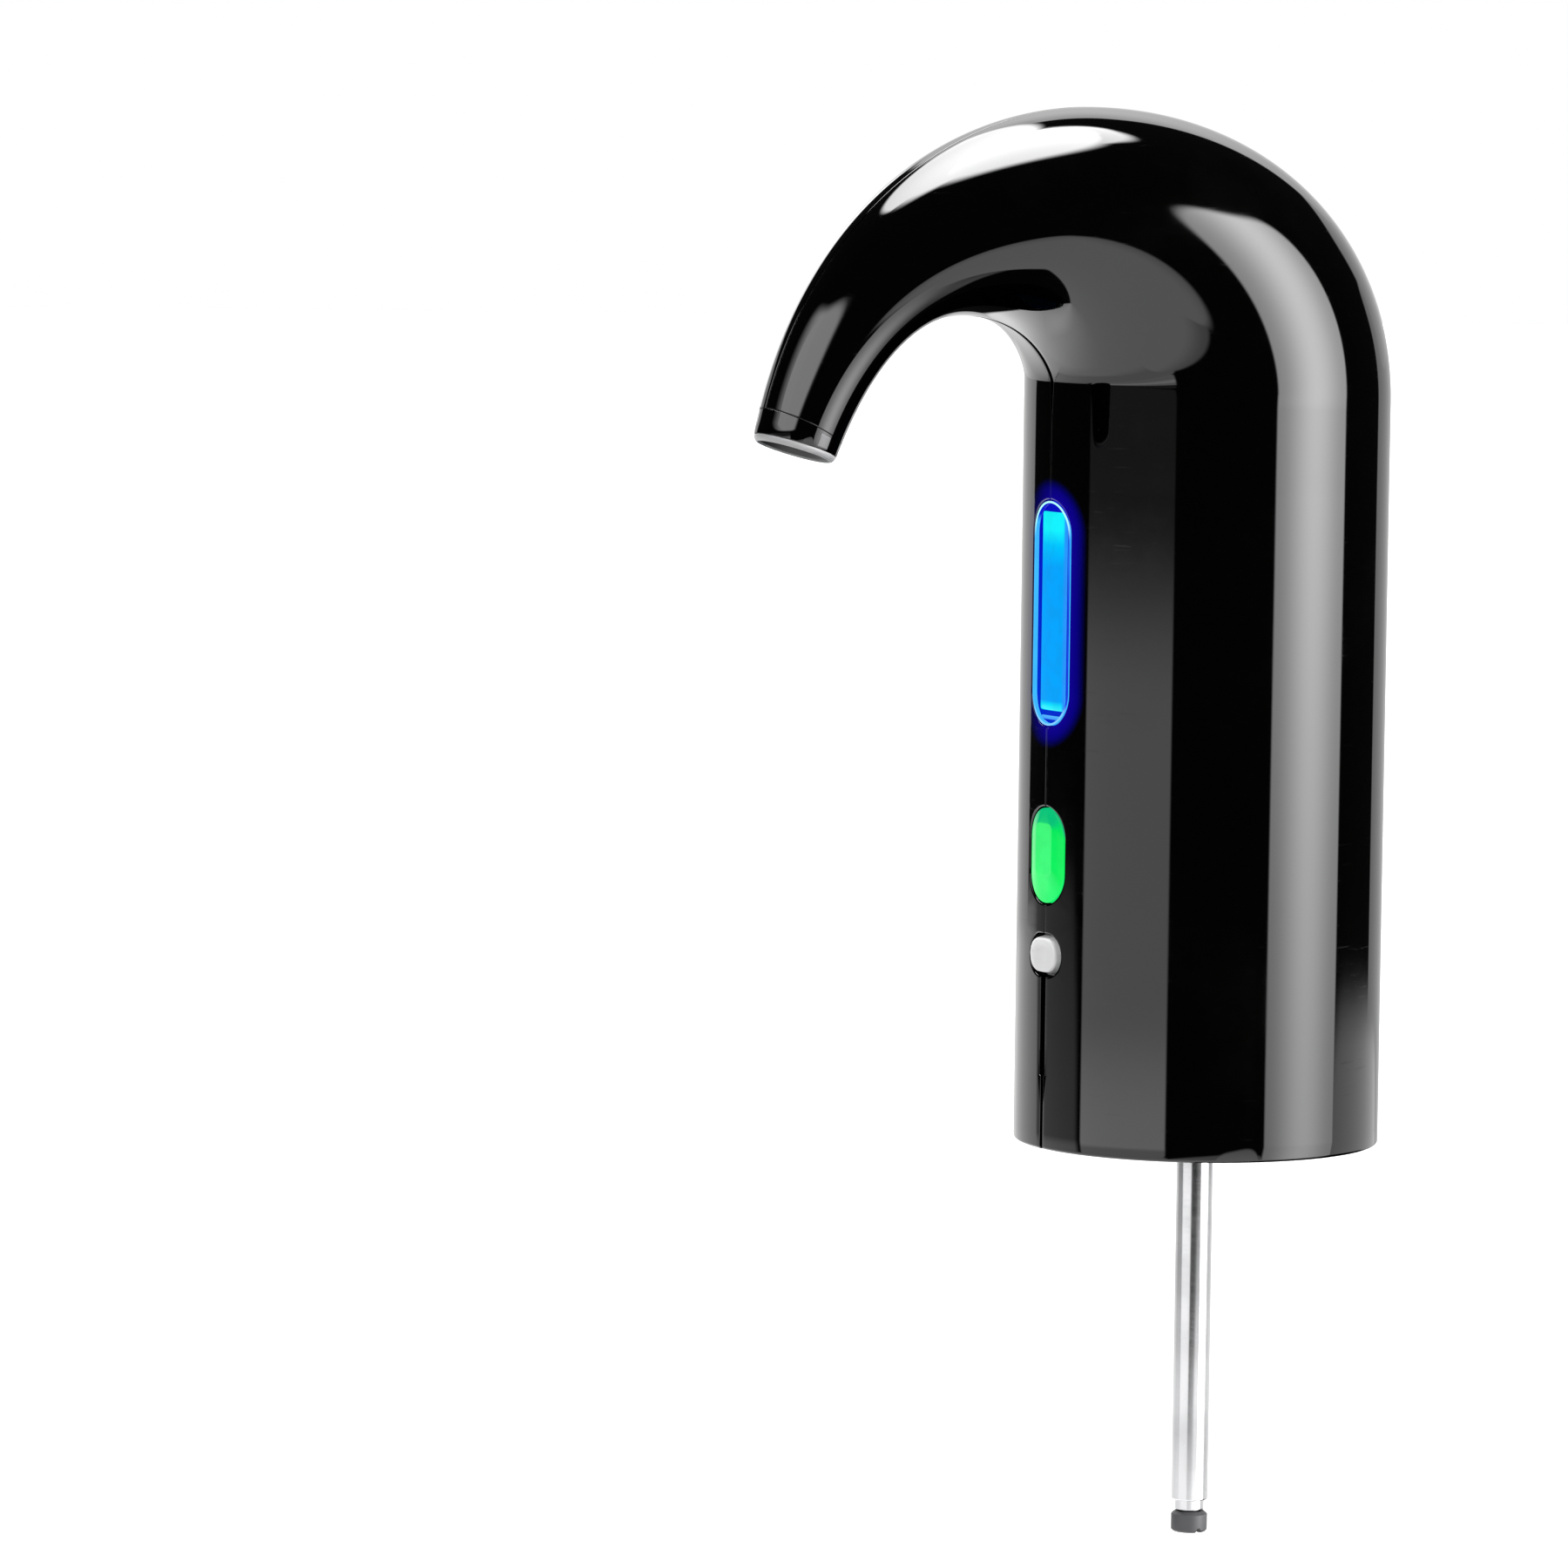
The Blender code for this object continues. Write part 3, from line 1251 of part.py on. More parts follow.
def nozzle():
    """The outlet nozzle in the collar and the finned insert that mixes in the air."""
    radius = COLLAR_BORE_RADIUS - GAP
    low = tip_frame(NOZZLE_RECESS)
    high = tip_frame(NOZZLE_RECESS + NOZZLE_LENGTH)
    body = rod("outlet_nozzle", radius, low, high, 24)
    bore = rod(
        "outlet_nozzle_bore",
        radius - NOZZLE_WALL,
        tip_frame(NOZZLE_RECESS - OVERRUN),
        tip_frame(NOZZLE_RECESS + NOZZLE_LENGTH + OVERRUN),
        24,
    )
    keep(combine(body, bore, "DIFFERENCE"), "silicone_grey")
    insert_low = NOZZLE_RECESS + (NOZZLE_LENGTH - INSERT_LENGTH) / 2
    insert = rod(
        "aerator_insert",
        INSERT_CORE_RADIUS,
        tip_frame(insert_low),
        tip_frame(insert_low + INSERT_LENGTH),
        12,
    )
    fin_reach = radius - NOZZLE_WALL - SLIDE_GAP
    for number in range(2):
        fin = box(
            f"aerator_insert_fin_{number}",
            (-fin_reach, -INSERT_FIN_THICKNESS / 2, SLIDE_GAP),
            (fin_reach, INSERT_FIN_THICKNESS / 2, INSERT_LENGTH - SLIDE_GAP),
        )
        lean = Matrix.Rotation(-(math.pi / 2 - TIP_SLOPE), 4, "X")
        spin = Matrix.Rotation(math.pi / 4 + number * math.pi / 2, 4, "Z")
        fin.data.transform(Matrix.Translation(tip_frame(insert_low)) @ lean @ spin)
        combine(insert, fin, "UNION")
    keep(insert, "white_plastic")


def wine_riser():
    """The hose from the hub up the body and through the gooseneck to the nozzle."""
    shoulder = BACK_SHOULDER + RIM_Z
    climb = RISER_FORWARD
    tip = NOZZLE_RECESS + NOZZLE_LENGTH + GAP
    run = DOME_FORWARD
    points = [
        (0, 0, BARB_TOP + GAP),
        (0, 0, BARB_TOP + climb),
        (0, -climb, BARB_TOP + 3 * climb),
        (0, -climb, (BARB_TOP + shoulder) / 2),
        (0, -climb, shoulder - climb),
        (0, -2 * climb, shoulder + climb),
        spine(tip + 5 / 2 * run),
        spine(tip + 2 * run),
        spine(tip + 3 / 2 * run),
        spine(tip + run),
        spine(tip + run / 2),
        tip_frame(tip + RISER_RADIUS),
        tip_frame(tip),
    ]
    hose("wine_riser", points, RISER_RADIUS, "silicone_clear")


def air_line():
    """The air hose from the pump through the check valve to the hub."""
    x, y = outlet_place()
    top = VALVE_FOOT + VALVE_LENGTH
    valve = turned(
        "check_valve",
        [
            (0, top),
            (AIR_BARB_RADIUS, top),
            (AIR_BARB_RADIUS, top - VALVE_LENGTH / 4),
            (VALVE_RADIUS, top - VALVE_LENGTH / 4),
            (VALVE_RADIUS, VALVE_FOOT + VALVE_LENGTH / 4),
            (AIR_BARB_RADIUS, VALVE_FOOT + VALVE_LENGTH / 4),
            (AIR_BARB_RADIUS, VALVE_FOOT),
            (0, VALVE_FOOT),
        ],
        (VALVE_SIDE, -VALVE_FORWARD, 0),
        16,
    )
    keep(valve, "white_plastic")
    rise = 2 * AIR_HOSE_RADIUS
    start = OUTLET_TOP + GAP
    hose(
        "air_hose_upper",
        [
            (x, y, start),
            (x, y, start + rise),
            (x / 2, y, start + 3 * rise),
            (VALVE_SIDE / 2, -VALVE_FORWARD / 4, start + 3 * rise),
            (VALVE_SIDE, -VALVE_FORWARD, start),
            (VALVE_SIDE, -VALVE_FORWARD, top + GAP),
        ],
        AIR_HOSE_RADIUS,
        "silicone_clear",
    )
    port = HUB_FLANGE_TOP + BARB_LENGTH / 2 + GAP
    hose(
        "air_hose_lower",
        [
            (AIR_BARB_PLACE, 0, port),
            (AIR_BARB_PLACE, 0, port + rise),
            (VALVE_SIDE, -VALVE_FORWARD, VALVE_FOOT - 2 * rise),
            (VALVE_SIDE, -VALVE_FORWARD, VALVE_FOOT - GAP),
        ],
        AIR_HOSE_RADIUS,
        "silicone_clear",
    )


def leads():
    """The pairs of leads from the motor and the cell to the back of the main board."""
    backing = BOARD_BACK_Y + GAP + BACKING_WALL + GAP
    reach = BOARD_WIDTH / 2 - 2 * LEAD_RADIUS
    for number, slot in enumerate(("lead_red", "lead_black")):
        spread = (number - 1 / 2) * 3 * LEAD_RADIUS
        colour = slot.split("_")[1]
        level = MOTOR_Z + MOTOR_LENGTH / 4
        front = MOTOR_Y - MOTOR_CRADLE_RADIUS - GAP - LEAD_RADIUS
        rise = DECK_TOP + CRADLE_HEIGHT + GAP + LEAD_RADIUS
        hose(
            f"motor_lead_{colour}",
            [
                (MOTOR_X + spread, MOTOR_Y - MOTOR_RADIUS - GAP, rise + LEAD_RADIUS),
                (MOTOR_X + spread, front - LEAD_BEND / 2, rise + LEAD_BEND / 2),
                (-reach + spread, (front + backing) / 2, level + LEAD_BEND * 2),
                (-reach + spread, backing + LEAD_RADIUS, level + LEAD_BEND * 3),
            ],
            LEAD_RADIUS,
            slot,
            1,
        )
        above = CELL_TOP + CELL_BUTTON_HEIGHT + BOARD_THICKNESS + 2 * GAP
        hose(
            f"battery_lead_{colour}",
            [
                (CELL_X + spread, CELL_Y, above + LEAD_RADIUS),
                (CELL_X + spread, CELL_Y - LEAD_BEND, above + LEAD_BEND),
                (CELL_X + spread, CELL_Y - CELL_RADIUS - LEAD_BEND, above),
                (reach + spread, (backing + MAST_FRONT) / 2, above - 2 * LEAD_BEND),
                (reach + spread, backing + LEAD_RADIUS, DECK_TOP + BACKING_HEIGHT - LEAD_BEND),
            ],
            LEAD_RADIUS,
            slot,
            1,
        )


def main():
    """Builds the aerator from its casing inwards."""
    clear_scene()
    make_collection("electric_wine_aerator")
    make_collection("cutters")
    casing_half("left_shell", -1)
    casing_half("right_shell", 1)
    spout_collar()
    bottom_cover()
    keep(
        ring("seat_gasket", GASKET_INNER_RADIUS, GASKET_OUTER_RADIUS, 0, GASKET_THICKNESS, sides=32),
        "silicone_grey",
    )
    stopper()
    wine_hub()
    dip_tube()
    chassis()
    pump()
    cell()
    boards()
    controls()
    nozzle()
    wine_riser()
    air_line()
    leads()


if __name__ == "__main__":
    main()
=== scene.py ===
"""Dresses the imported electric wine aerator: fine casing halves, lit controls, base, tubes and trims.

Lengths are in metres in the model's own frame. The bottle's lip seats at z = 0, the spout and the
controls face -y, and the casing's halves meet in the plane x = 0. A level is a height measured up
from the base rim, as in the part's source, and a rail point is (forward, level).
"""

import logging
from collections.abc import Callable
from dataclasses import dataclass, field
from enum import Enum
from math import cos, pi, radians, sin

import bmesh
import bpy
import numpy as np
from mathutils import Matrix, Vector


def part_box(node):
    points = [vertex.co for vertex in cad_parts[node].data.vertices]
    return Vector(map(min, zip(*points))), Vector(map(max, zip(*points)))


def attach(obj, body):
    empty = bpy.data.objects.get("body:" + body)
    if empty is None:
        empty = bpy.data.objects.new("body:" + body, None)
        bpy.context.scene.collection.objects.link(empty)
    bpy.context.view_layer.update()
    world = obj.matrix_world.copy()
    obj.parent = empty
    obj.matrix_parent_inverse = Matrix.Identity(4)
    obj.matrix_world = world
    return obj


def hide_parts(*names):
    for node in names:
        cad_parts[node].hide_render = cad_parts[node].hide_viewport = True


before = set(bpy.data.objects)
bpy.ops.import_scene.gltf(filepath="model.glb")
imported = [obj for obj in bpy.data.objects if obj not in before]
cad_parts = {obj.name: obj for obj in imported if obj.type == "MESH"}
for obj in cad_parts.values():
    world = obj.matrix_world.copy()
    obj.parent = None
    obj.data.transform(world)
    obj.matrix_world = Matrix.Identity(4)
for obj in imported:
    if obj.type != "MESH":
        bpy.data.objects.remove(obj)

Array = np.ndarray
Colour = tuple[float, float, float]
Outline = list[tuple[float, float]]
Point = tuple[float, float, float]
Socket = bpy.types.NodeSocket

LOG = logging.getLogger("wine_aerator")
WELD = 0.000002
SHARP = 32.0
RIM_Z = -0.028
BODY_RADIUS = 0.035
BOSS_CIRCLE = 0.0291
BOSS_ANGLES = (-40.0, 70.0)
ROOT = "root"
BLACK = (0.0, 0.0, 0.0)


# Mesh tools


def softened(outline: Outline, reach: float, closed: bool) -> Array:
    """An outline with its corners rounded.

    Each corner P becomes the curve (1-t)^2 A + 2t(1-t) P + t^2 B, where A and B lie on its two edges
    at the reach, or at half an edge where that is shorter.

    Args:
        outline: Corners as (radius, height).
        reach: How far from a corner its rounding starts.
        closed: True if the last corner joins the first.

    Returns:
        Points, n by 2.
    """
    corner = np.array(outline, float)
    t = np.linspace(0, 1, 5)[None, :, None]
    curve = corner[:, None]
    for step, weight in ((1, (1 - t) ** 2), (-1, t**2)):
        edge = np.roll(corner, step, axis=0) - corner
        length = np.linalg.norm(edge, axis=1, keepdims=True)
        near = edge / np.maximum(length, WELD) * np.minimum(reach, length * 0.49)
        if not closed:
            near[[0, -1]] = 0
        curve = curve + weight * near[:, None]
    return curve.reshape(-1, 2)


@dataclass(frozen=True)
class Place:
    """The frame of a turned piece: its foot and its axis, with x for a side."""

    foot: Point = (0.0, 0.0, 0.0)
    axis: Point = (0.0, 0.0, 1.0)

    def points(self, radius: Array, height: Array, angle: Array) -> Array:
        """Points at a radius, a height and an angle: foot + r cos(a) side + r sin(a) third + h axis."""
        side = np.array([1.0, 0.0, 0.0])
        across, along = (radius * np.cos(angle))[..., None], (radius * np.sin(angle))[..., None]
        up = (height + 0 * angle)[..., None]
        return np.array(self.foot) + across * side + along * np.cross(self.axis, side) + up * self.axis


class Skin:
    """The surface of one piece, gathered from sheets and caps and then welded shut."""

    def __init__(self) -> None:
        """Starts with no points and no faces."""
        self.points: list[Array] = []
        self.faces: list[list[int]] = []
        self.count = 0

    def sheet(self, grid: Array, around: bool = False, ends: bool = False) -> "Skin":
        """Adds a grid of points joined by quads.

        Args:
            grid: Points, rows by columns by 3.
            around: Joins the last column to the first.
            ends: Joins the last row to the first.

        Returns:
            This skin.
        """
        index = np.arange(grid.shape[0] * grid.shape[1]).reshape(grid.shape[:2]) + self.count
        if around:
            index = np.hstack([index, index[:, :1]])
        if ends:
            index = np.vstack([index, index[:1]])
        quads = np.stack([index[:-1, :-1], index[1:, :-1], index[1:, 1:], index[:-1, 1:]], axis=-1)
        self.faces += quads.reshape(-1, 4).tolist()
        return self._add(grid.reshape(-1, 3))

    def cap(self, loop: Array) -> "Skin":
        """Closes a loop of points, n by 3, with one flat face."""
        self.faces.append(list(range(self.count, self.count + len(loop))))
        return self._add(loop)

    def turn(
        self, outline: Outline, place: Place = Place(), sides: int = 96, reach: float = 0.00025, closed: bool = True
    ) -> "Skin":
        """Adds an outline of (radius, height) carried round an axis, with soft corners.

        Args:
            outline: Corners; an open outline starts and ends on the axis.
            place: Where it stands.
            sides: Steps round the axis.
            reach: How far its corners are rounded.
            closed: True for a ring, whose outline joins up.

        Returns:
            This skin.
        """
        profile = softened(outline, reach, closed)
        angle = np.arange(sides) * 2 * pi / sides + 0 * profile[:, :1]
        return self.sheet(place.points(profile[:, :1], profile[:, 1:], angle), around=True, ends=closed)

    def _add(self, points: Array) -> "Skin":
        """Takes in points that the faces already name."""
        self.points.append(points)
        self.count += len(points)
        return self

    def mesh(self, name: str, sharp: float = SHARP) -> bpy.types.Mesh:
        """The welded mesh, with its faces outwards.

        Args:
            name: The mesh's name.
            sharp: Edges that turn by more than this many degrees stay sharp.

        Returns:
            The mesh.
        """
        mesh = bpy.data.meshes.new(name)
        mesh.from_pydata(np.concatenate(self.points).tolist(), [], self.faces)
        bm = bmesh.new()
        bm.from_mesh(mesh)
        bmesh.ops.remove_doubles(bm, verts=bm.verts, dist=WELD)
        bmesh.ops.recalc_face_normals(bm, faces=bm.faces)
        bm.to_mesh(mesh)
        bm.free()
        mesh.shade_smooth()
        mesh.set_sharp_from_angle(angle=radians(sharp))
        return mesh


def placed(name: str, data: bpy.types.ID) -> bpy.types.Object:
    """A new object of this mesh or camera, in the scene."""
    made = bpy.data.objects.new(name, data)
    bpy.context.scene.collection.objects.link(made)
    return made


def cut(skin: Skin, cutters: list[Skin]) -> bpy.types.Mesh:
    """The mesh of a skin less its cutters.

    Args:
        skin: The piece.
        cutters: What is taken out of it.

    Returns:
        The mesh.
    """
    piece = placed("cutting", skin.mesh("cutting"))
    tools = [placed("cutter", cutter.mesh("cutter")) for cutter in cutters]
    for tool in tools:
        modifier = piece.modifiers.new("hole", "BOOLEAN")
        modifier.object, modifier.operation, modifier.solver = tool, "DIFFERENCE", "EXACT"
    bpy.context.view_layer.update()
    mesh = bpy.data.meshes.new_from_object(piece.evaluated_get(bpy.context.evaluated_depsgraph_get()))
    for thing in (piece, *tools):
        bpy.data.objects.remove(thing)
    mesh.set_sharp_from_angle(angle=radians(SHARP))
    return mesh


def keep(
    name: str,
    shape: Skin | bpy.types.Mesh,
    finish: "Finish",
    stands_for: str = "",
    body: str = ROOT,
    sharp: float = SHARP,
) -> None:
    """Puts a finished piece in the scene and on its body.

    Args:
        name: The piece's name.
        shape: Its skin or its mesh, in the model's frame.
        finish: Its finish.
        stands_for: The CAD node that it replaces, if any.
        body: The body that it rides on.
        sharp: The angle from which a skin's edges stay sharp, in degrees.
    """
    mesh = shape.mesh(name, sharp) if isinstance(shape, Skin) else shape
    mesh.name = name
    mesh.materials.clear()
    mesh.materials.append(finish.material(name))
    piece = placed(name, mesh)
    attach(piece, body)
    if stands_for:
        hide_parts(stands_for)
    LOG.info("%s: %d faces", name, len(mesh.polygons))


# Shader tools


class Group(Enum):
    """The shader groups that finishes share, each with its name, its inputs and its outputs."""

    PILL = ("pill_distance", {"Level": 0.0, "Radius": 0.006, "Reach": 0.015}, ("Distance", "Front"))
    GRAIN = ("moulded_grain", {"Scale": 900.0, "Share": 0.5}, ("Height", "Tone"))
    HANDLING = ("handling_marks", {"Amount": 1.0}, ("Smudge", "Scuff"))


class Bench:
    """Adds nodes to one tree and joins them."""

    def __init__(self, tree: bpy.types.NodeTree) -> None:
        """Takes the tree that the nodes go in."""
        self.tree = tree

    def node(self, kind: str, inputs: dict | None = None, **settings) -> bpy.types.Node:
        """A node with its settings and its inputs, each a value or a socket to join.

        Args:
            kind: The node's type name after ShaderNode.
            inputs: Values or sockets by input name or number.
            settings: The node's own properties.

        Returns:
            The node.
        """
        made = self.tree.nodes.new("ShaderNode" + kind)
        for key, value in settings.items():
            setattr(made, key, value)
        for key, value in (inputs or {}).items():
            self.join(made.inputs[key], value)
        return made

    def join(self, socket: Socket, value: object) -> None:
        """Sets an input to a value, a colour with full alpha, or links it where the value is a socket."""
        if isinstance(value, Socket):
            self.tree.links.new(value, socket)
        else:
            socket.default_value = (*value, 1.0) if socket.type == "RGBA" else value

    def shade(self, **inputs: object) -> None:
        """Sets or joins inputs of the material's shader, named with underscores for spaces."""
        for key, value in inputs.items():
            self.join(self.tree.nodes["Principled BSDF"].inputs[key.replace("_", " ")], value)

    def glow(self, light: object, strength: float) -> None:
        """Gives the shader its own light, black to mirror rays, so that the gloss round it doesn't show it."""
        mirror = self.node("LightPath").outputs["Is Glossy Ray"]
        self.shade(Emission_Color=self.mix(mirror, light, BLACK), Emission_Strength=strength)

    def group(self, group: Group, vector: Socket, **inputs: float) -> dict:
        """A shared group's outputs at a vector, with its other inputs named as in the group."""
        tree = bpy.data.node_groups[group.value[0]]
        return self.node("Group", {"Vector": vector, **inputs}, node_tree=tree).outputs

    def math(self, operation: str, *values: object, clamp: bool = False) -> Socket:
        """The result of a Math node on up to three values."""
        return self.node("Math", dict(enumerate(values)), operation=operation, use_clamp=clamp).outputs[0]

    def times(self, first: object, *others: object) -> Socket:
        """The product of some values."""
        for other in others:
            first = self.math("MULTIPLY", first, other)
        return first

    def line(self, value: object, slope: object, start: object) -> Socket:
        """A value times a slope, plus a start."""
        return self.math("MULTIPLY_ADD", value, slope, start)

    def length(self, a: Socket, b: Socket) -> Socket:
        """The length of a plane vector (a, b)."""
        return self.math("SQRT", self.math("ADD", self.times(a, a), self.times(b, b)))

    def ramp(self, value: object, low: float, high: float, start: float = 0.0, end: float = 1.0) -> Socket:
        """A value eased from start to end as it goes from low to high."""
        inputs = {"Value": value, "From Min": low, "From Max": high, "To Min": start, "To Max": end}
        return self.node("MapRange", inputs, interpolation_type="SMOOTHSTEP").outputs["Result"]

    def mix(self, share: object, first: object, second: object, blend: str = "MIX") -> Socket:
        """A colour mixed from two, by a share."""
        inputs = {0: share, 6: first, 7: second}
        return self.node("Mix", inputs, data_type="RGBA", blend_type=blend).outputs[2]

    def parts(self, vector: Socket) -> list[Socket]:
        """The x, y and z of a vector."""
        return list(self.node("SeparateXYZ", {0: vector}).outputs)

    def scaled(self, vector: Socket, scale: Point) -> Socket:
        """A vector times a scale, axis by axis."""
        return self.node("VectorMath", {0: vector, 1: scale}, operation="MULTIPLY").outputs[0]

    def noise(self, vector: Socket, scale: object, detail: float = 3.0, rough: float = 0.55) -> Socket:
        """The value of a noise at a vector."""
        inputs = {"Vector": vector, "Scale": scale, "Detail": detail, "Roughness": rough}
        return self.node("TexNoise", inputs).outputs["Fac"]

    def bump(self, height: Socket, depth: float, strength: float) -> Socket:
        """A normal bent by a height."""
        inputs = {"Height": height, "Distance": depth, "Strength": strength}
        return self.node("Bump", inputs).outputs["Normal"]


class Groups:
    """Builds the shared shader groups once."""

    def build(self) -> None:
        """Builds every group."""
        for group, wire in (
            (Group.PILL, self._pill),
            (Group.GRAIN, self._grain),
            (Group.HANDLING, self._handling),
        ):
            self._build(group, wire)

    @staticmethod
    def _build(group: Group, wire: Callable[[Bench, dict], tuple[Socket, ...]]) -> None:
        """Builds one group.

        Args:
            group: Which group.
            wire: Joins its nodes on a bench, from its inputs, and returns its outputs in order.
        """
        name, inputs, outputs = group.value
        tree = bpy.data.node_groups.new(name, "ShaderNodeTree")
        tree.interface.new_socket("Vector", in_out="INPUT", socket_type="NodeSocketVector")
        for key, value in inputs.items():
            made = tree.interface.new_socket(key, in_out="INPUT", socket_type="NodeSocketFloat")
            made.default_value = value
        for key in outputs:
            tree.interface.new_socket(key, in_out="OUTPUT", socket_type="NodeSocketFloat")
        found = wire(Bench(tree), tree.nodes.new("NodeGroupInput").outputs)
        out = tree.nodes.new("NodeGroupOutput").inputs
        for key, value in zip(outputs, found):
            tree.links.new(value, out[key])

    @staticmethod
    def _pill(bench: Bench, into: dict) -> tuple[Socket, ...]:
        """How far (x, z) lies from an upright pill's middle line, less its radius, and a front mask."""
        x, y, z = bench.parts(into["Vector"])
        away = bench.math("ABSOLUTE", bench.math("SUBTRACT", z, into["Level"]))
        past = bench.math("MAXIMUM", bench.math("SUBTRACT", away, into["Reach"]), 0.0)
        distance = bench.math("SUBTRACT", bench.length(x, past), into["Radius"])
        return distance, bench.ramp(y, -0.015, -0.025)

    @staticmethod
    def _grain(bench: Bench, into: dict) -> tuple[Socket, ...]:
        """A fine moulded grain, of two noises with one a few times finer, and a slow tone."""
        place, scale = into["Vector"], into["Scale"]
        scales = scale, bench.times(scale, 3.7)
        coarse, fine = (bench.noise(place, one, 2.0, 0.5) for one in scales)
        return bench.mix(into["Share"], coarse, fine), bench.noise(place, 60.0, 2.0)

    @staticmethod
    def _handling(bench: Bench, into: dict) -> tuple[Socket, ...]:
        """Faint marks of handling: broad smudges, and hair-fine scuffs that run round the body."""
        smudge = bench.noise(into["Vector"], 38.0, 5.0, 0.6)
        scuff = bench.noise(bench.scaled(into["Vector"], (140.0, 140.0, 2600.0)), 1.0, 2.0, 0.5)
        marks = bench.ramp(smudge, 0.48, 0.72), bench.ramp(scuff, 0.66, 0.74)
        return tuple(bench.times(mark, into["Amount"]) for mark in marks)


def rgb(red: float, green: float, blue: float) -> Colour:
    """A linear colour from one named in 0 to 255 screen values."""
    share = np.array([red, green, blue]) / 255
    linear = np.where(share <= 0.04045, share / 12.92, ((share + 0.055) / 1.055) ** 2.4)
    return tuple(linear.tolist())


# Finishes


class Finish:
    """A finish that wires its own nodes into a new material."""

    def material(self, name: str) -> bpy.types.Material:
        """The finish as a material of this name."""
        material = bpy.data.materials.new(name)
        material.use_nodes = True
        bench = Bench(material.node_tree)
        self.wire(bench, bench.node("TexCoord").outputs["Object"])
        return material

    def wire(self, bench: Bench, place: Socket) -> None:
        """Joins the finish's nodes on a bench, from the Object coordinates."""
        raise NotImplementedError


@dataclass(frozen=True)
class GlossShell(Finish):
    """Piano-black gloss with faint smudges and scuffs, and a lit opening's blue glow painted on it as its own
    light.
    """

    lit: "Opening | None" = None

    def wire(self, bench: Bench, place: Socket) -> None:
        """Joins its nodes."""
        marks = bench.group(Group.HANDLING, place, Amount=1.0)
        rough = bench.line(marks["Smudge"], 0.025, 0.035)
        bench.shade(
            Roughness=bench.line(marks["Scuff"], 0.05, rough),
            Base_Color=bench.mix(marks["Smudge"], (0.0003, 0.0003, 0.0003), (0.0008, 0.0008, 0.0008)),
            Normal=bench.bump(bench.noise(place, 420.0, 2.0), 0.0000008, 0.35),
            IOR=1.5,
        )
        # Painted light: the shell itself glows deep blue round the lit window, strongest near its edge, at the
        # front and on its right, standing in for the window's light falling on the black gloss.
        if self.lit:
            level, radius, reach = self.lit.level + RIM_Z, self.lit.radius, self.lit.reach[1]
            pill = bench.group(Group.PILL, place, Level=level, Radius=radius, Reach=reach)
            near = bench.ramp(pill["Distance"], 0.0, 0.0036, 1.0, 0.5)
            edge = bench.ramp(pill["Distance"], 0.0020, 0.0042, 1.0, 0.0)
            facing = bench.ramp(bench.parts(place)[0], -0.0085, 0.0030, 0.10, 1.0)
            colour = bench.mix(near, rgb(0, 0, 150), rgb(13, 0, 142))
            bench.glow(bench.mix(bench.times(near, edge, facing, pill["Front"]), BLACK, colour), 1.0)


@dataclass(frozen=True)
class Moulded(Finish):
    """Moulded plastic or rubber: a colour with a slow drift, fine grain and soft smudges."""

    colour: Colour
    roughness: float
    grain: float
    scale: float
    sheen: float = 0.0
    see_through: float = 0.0

    def wire(self, bench: Bench, place: Socket) -> None:
        """Joins its nodes."""
        grain = bench.group(Group.GRAIN, place, Scale=self.scale, Share=0.5)
        marks = bench.group(Group.HANDLING, place, Amount=1.0)
        paler = tuple(min(1.0, value * 1.12 + 0.004) for value in self.colour)
        rough = bench.line(marks["Smudge"], 0.08, self.roughness)
        bench.shade(
            Base_Color=bench.mix(bench.ramp(grain["Tone"], 0.35, 0.65), self.colour, paler),
            Roughness=bench.line(grain["Height"], 0.06, rough),
            Normal=bench.bump(grain["Height"], self.grain, 0.6),
            Sheen_Weight=self.sheen,
            Transmission_Weight=self.see_through,
        )


@dataclass(frozen=True)
class Brushed(Finish):
    """Metal brushed round its axis, with slow tarnish and soft smudges."""

    colour: Colour
    roughness: float
    lines: float

    def wire(self, bench: Bench, place: Socket) -> None:
        """Joins its nodes."""
        brush = bench.noise(bench.scaled(place, (0.03, 0.03, 1.0)), self.lines, 4.0, 0.7)
        marks = bench.group(Group.HANDLING, place, Amount=1.0)
        drift = bench.ramp(bench.noise(place, 45.0, 2.0), 0.3, 0.7)
        darker = tuple(value * 0.72 for value in self.colour)
        rough = bench.line(brush, 0.16, self.roughness - 0.08)
        bench.shade(
            Base_Color=bench.mix(drift, darker, self.colour),
            Roughness=bench.line(marks["Smudge"], 0.10, rough),
            Normal=bench.bump(brush, 0.000004, 0.35),
            Metallic=1.0,
        )


@dataclass(frozen=True)
class CircuitBoard(Finish):
    """Green solder mask over copper tracks, with a row of tinned pads."""

    mask: Colour = (0.010, 0.095, 0.035)
    track: Colour = (0.030, 0.190, 0.070)
    pad: Colour = (0.62, 0.60, 0.52)

    def wire(self, bench: Bench, place: Socket) -> None:
        """Joins its nodes."""
        grid = {"Vector": place, "Scale": 420.0, "Randomness": 0.35}
        cells = bench.node("TexVoronoi", grid, distance="MANHATTAN", feature="F1")
        blocks = bench.node("TexBrick", {"Vector": place, "Scale": 260.0})
        line = bench.ramp(blocks.outputs["Fac"], 0.2, 0.8)
        pads = bench.ramp(cells.outputs["Distance"], 0.10, 0.16, 1.0, 0.0)
        bench.shade(
            Base_Color=bench.mix(pads, bench.mix(line, self.mask, self.track), self.pad),
            Metallic=pads,
            Roughness=bench.line(pads, -0.1, 0.38),
            Normal=bench.bump(bench.math("ADD", line, pads), 0.00002, 0.5),
        )


